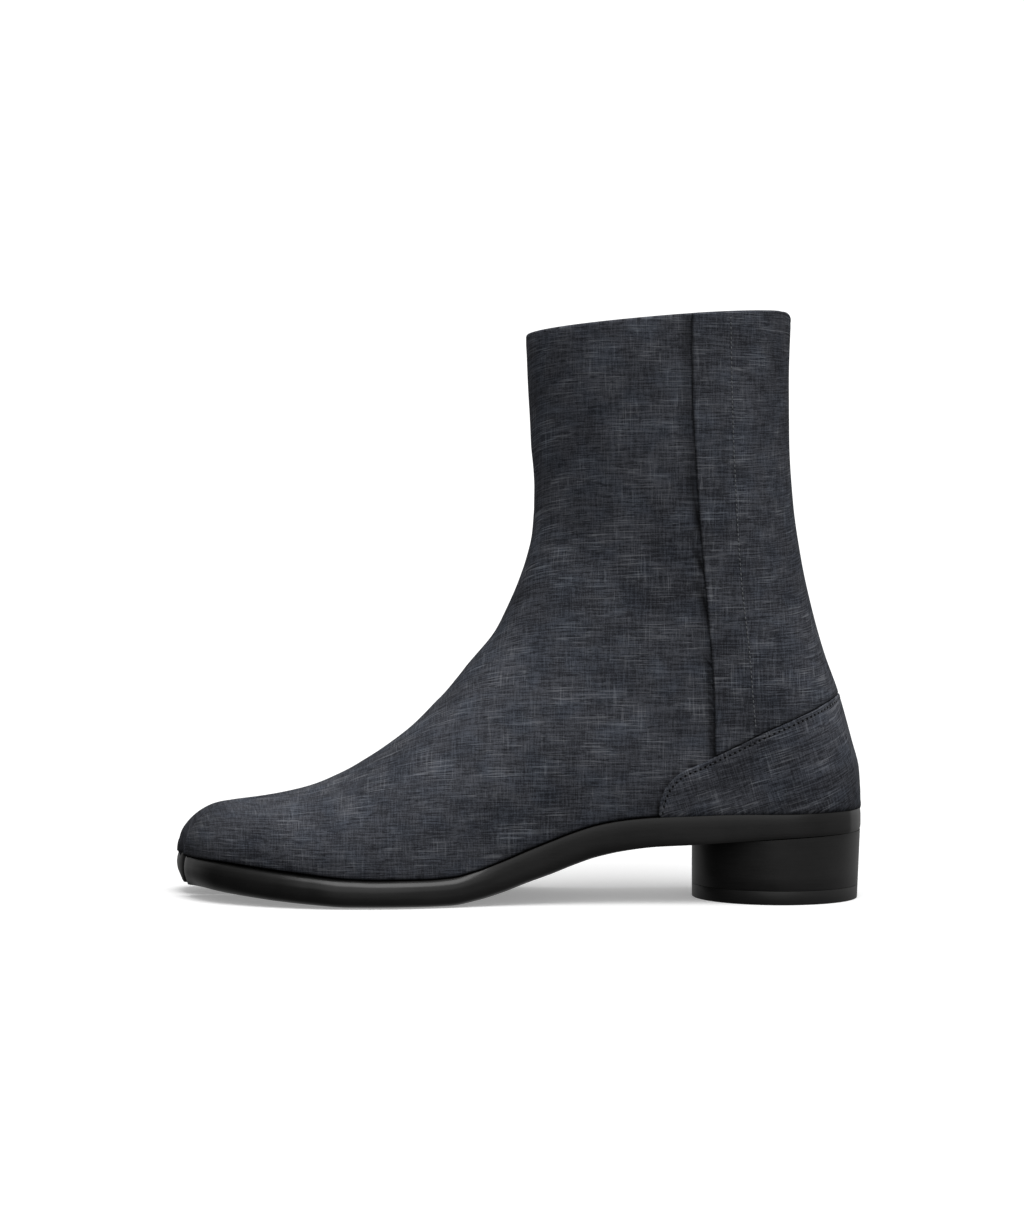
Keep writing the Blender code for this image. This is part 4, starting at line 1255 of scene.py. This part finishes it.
def stitch_tree():
    """Geometry nodes that lay rounded stitches along a line."""
    tree = bpy.data.node_groups.new("stitches", "GeometryNodeTree")
    for name, kind in (("Line", "NodeSocketGeometry"), ("Stitches", "NodeSocketInt"),
                       ("Stitch length", "NodeSocketFloat"), ("Thread radius", "NodeSocketFloat"),
                       ("Thread", "NodeSocketMaterial")):
        tree.interface.new_socket(name, in_out="INPUT", socket_type=kind)
    tree.interface.new_socket("Row", in_out="OUTPUT", socket_type="NodeSocketGeometry")
    wire = Wire(tree)
    given = tree.nodes.new("NodeGroupInput")
    line, count, length, radius, thread = (Wire(tree, given.outputs[k]) for k in range(5))
    curve = wire.node("GeometryNodeMeshToCurve", {"Mesh": line})
    points = tree.nodes.new("GeometryNodeCurveToPoints")
    points.mode = "COUNT"
    tree.links.new(curve.socket, points.inputs["Curve"])
    tree.links.new(count.socket, points.inputs["Count"])
    bead = wire.node("GeometryNodeMeshUVSphere", {"Segments": 8, "Rings": 5, "Radius": 1.0})
    size = wire.node("ShaderNodeCombineXYZ", {"X": radius, "Y": radius, "Z": length * 0.5})
    row = wire.node("GeometryNodeInstanceOnPoints",
                    {"Points": Wire(tree, points.outputs["Points"]), "Instance": bead,
                     "Rotation": Wire(tree, points.outputs["Rotation"]), "Scale": size})
    solid = wire.node("GeometryNodeRealizeInstances", {"Geometry": row})
    solid = wire.node("GeometryNodeSetShadeSmooth", {0: solid})
    solid = wire.node("GeometryNodeSetMaterial", {"Geometry": solid, "Material": thread})
    put = tree.nodes.new("NodeGroupOutput")
    tree.links.new(solid.socket, put.inputs[0])
    return tree


def sewn_row(name, tree, line, count, stitch, thread):
    """Row of stitches of a given length and radius along a line, turned into a plain mesh."""
    length, radius = stitch
    mesh = bpy.data.meshes.new(name + "_line")
    mesh.from_pydata(line.tolist(), [(i, i + 1) for i in range(len(line) - 1)], [])
    guide = bpy.data.objects.new(name + "_line", mesh)
    bpy.context.scene.collection.objects.link(guide)
    modifier = guide.modifiers.new("stitches", "NODES")
    modifier.node_group = tree
    values = {"Stitches": count, "Stitch length": length, "Thread radius": radius, "Thread": thread}
    for item in tree.interface.items_tree:
        if item.in_out == "INPUT" and item.name in values:
            modifier[item.identifier] = values[item.name]
    done = guide.evaluated_get(bpy.context.evaluated_depsgraph_get())
    row = bpy.data.objects.new(name, bpy.data.meshes.new_from_object(done))
    bpy.context.scene.collection.objects.link(row)
    bpy.data.objects.remove(guide, do_unlink=True)
    return row


def resampled(line, count, trim=0.0):
    """Evenly spaced points of a line, less a share trimmed from each of its ends."""
    run = np.concatenate(([0], np.cumsum(length_of(np.diff(line, axis=0)))))
    at = np.linspace(trim, 1 - trim, count) * run[-1]
    return np.stack([np.interp(at, run, line[:, k]) for k in range(3)], 1)


def hook_lines():
    """Stitch lines down the rear panel, on the outer and the inner side."""
    h = np.linspace(HOOK_LINE["h"][0], HOOK_LINE["h"][-1], 200)
    x = place_x(smooth(h, HOOK_LINE["h"], HOOK_LINE["x"]))
    z = float(seat_height(0.0)) + h * SHAFT_HEIGHT
    row, v = row_through(x, z)
    lines = []
    for side in (-1, 1):
        line = last_point(row, v, side)
        normal = np.cross(np.gradient(line, axis=0), last_point(row, v + 0.01, side) - line)
        facing = np.abs(normal[:, 1]) / length_of(normal)
        line[:, 1] += side * (LAYER_GAP + PANEL_THICKNESS + 0.26 * MM) / facing
        lines.append(line)
    return lines


# Studio

IMAGE_HEIGHT = 1214.0
FOCAL_PIXELS = 2590.0
SENSOR = 36.0
CAMERA_PLACE = (-0.1112, -1.100, 0.1286)
CAMERA_TILT = 90.0 - 0.31
# Strength of the air behind the camera and behind the boot, how it grows to the right, and
# what is left of it below.
FRONT_AIR, FRONT_GROWTH, LEFT_FALL = 0.29, 0.19, 0.05
BACK_AIR, BACK_GROWTH = 0.45, 0.15
LOW_AIR = 0.5
BACKDROP = 1.2
# Lights: the way that they shine, their spread in degrees and their strength.
LIGHTS = {
    "overhead_light": ((-0.10, 0.27, -1.0), 46.0, 2.0),
    "front_light": ((0.05, 1.0, -0.60), 60.0, 0.55),
}


def make_studio():
    """White paper floor, air that is brighter to the right, and two soft lights."""
    bpy.ops.mesh.primitive_circle_add(vertices=96, radius=14.0, fill_type="NGON", location=(0, 0, 0))
    floor = bpy.context.object
    floor.name = "studio_floor"
    floor.data.materials.append(floor_paper("floor_paper"))
    floor.visible_diffuse = False
    floor.visible_glossy = False
    world = bpy.data.worlds.new("studio_air")
    world.use_nodes = True
    bpy.context.scene.world = world
    wire = Wire(world.node_tree)
    back = world.node_tree.nodes["Background"]
    x, y, z = parts_of(wire, wire.node("ShaderNodeTexCoord", output=0))
    seen = wire.node("ShaderNodeLightPath", output=0)
    behind = y.step(0.10, 0.60)
    before = FRONT_AIR + x * FRONT_GROWTH + x.maths("MINIMUM", x, 0.0) * LEFT_FALL
    round_it = before * (1 - behind) + behind * (BACK_AIR + x * BACK_GROWTH)
    round_it = round_it * (LOW_AIR + (1 - LOW_AIR) * z.step(-0.25, 0.10))
    strength = seen * BACKDROP + (1 - seen) * round_it
    world.node_tree.links.new(strength.socket, back.inputs["Strength"])
    back.inputs["Color"].default_value = (1.0, 1.0, 1.0, 1.0)
    for name, (way, spread_angle, power) in LIGHTS.items():
        lamp = bpy.data.lights.new(name, "SUN")
        lamp.angle, lamp.energy = math.radians(spread_angle), power
        light = bpy.data.objects.new(name, lamp)
        bpy.context.scene.collection.objects.link(light)
        light.rotation_euler = look_along(way)


def look_along(way):
    """Turn that points a light, which shines down its own -Z, along a direction."""
    flat = math.hypot(way[0], way[1])
    return (math.pi / 2 + math.atan2(way[2], flat), 0.0, math.atan2(way[1], way[0]) - math.pi / 2)


def make_camera():
    """Almost level side view, fitted to the photograph; the distance of 1.1 m is an estimate."""
    lens = bpy.data.cameras.new("photo_camera")
    lens.sensor_width = SENSOR
    lens.lens = FOCAL_PIXELS * SENSOR / IMAGE_HEIGHT
    lens.clip_start = 0.02
    camera = bpy.data.objects.new("photo_camera", lens)
    camera.location = CAMERA_PLACE
    camera.rotation_euler = (math.radians(CAMERA_TILT), 0.0, 0.0)
    bpy.context.scene.collection.objects.link(camera)
    bpy.context.scene.camera = camera


def main():
    cloth = slubbed_cloth("upper_slub_cloth", 1.04)
    panel_cloth = slubbed_cloth("panel_slub_cloth", 0.86)
    counter_cloth = slubbed_cloth("counter_slub_cloth", 0.88, holes=True)
    lining = lining_leather("lining_leather", LINING_COLOUR)
    sole_leather = edge_leather("sole_edge_leather", SOLE_COLOUR, 0.34)
    heel_leather = edge_leather("heel_edge_leather", SOLE_COLOUR, 0.38)
    rubber = edge_leather("top_piece_rubber", SOLE_COLOUR, 0.45, 1.5)
    counter_thread = sewing_thread("counter_thread", THREAD_COLOUR)
    pale_thread = sewing_thread("pale_thread", PALE_THREAD_COLOUR)

    upper = make_upper(cloth, lining)
    panel = make_rear_panel(panel_cloth)
    counter, seam_line, count = make_counter(counter_cloth)
    sole, insole = make_sole(sole_leather, lining)
    heel, top_piece = make_heel(heel_leather, rubber)
    tree = stitch_tree()
    between_holes = resampled(seam_line, 1200, 0.5 / count)
    rows = [(sewn_row("counter_stitches", tree, between_holes, count, COUNTER_STITCH,
                      counter_thread), "counter_cloth")]
    for label, line in zip(("outer", "inner"), hook_lines()):
        rows.append((sewn_row("panel_stitches_" + label, tree, resampled(line, 600), PANEL_STITCHES,
                              PANEL_STITCH, pale_thread), "panel_cloth"))
    for thing, node, slot in ((upper, "upper", "upper_cloth"), (panel, "rear_panel", "panel_cloth"),
                              (counter, "heel_counter", "counter_cloth"),
                              (insole, "insole", "insole_leather"),
                              (sole, "outsole", "sole_leather"), (heel, "heel", "heel_leather"),
                              (top_piece, "heel_top_piece", "top_piece_rubber")):
        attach(thing, "root")
        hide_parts(node)
    for row, slot in rows:
        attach(row, "root")
    make_studio()
    make_camera()
    bpy.context.scene.view_settings.view_transform = "Standard"


main()
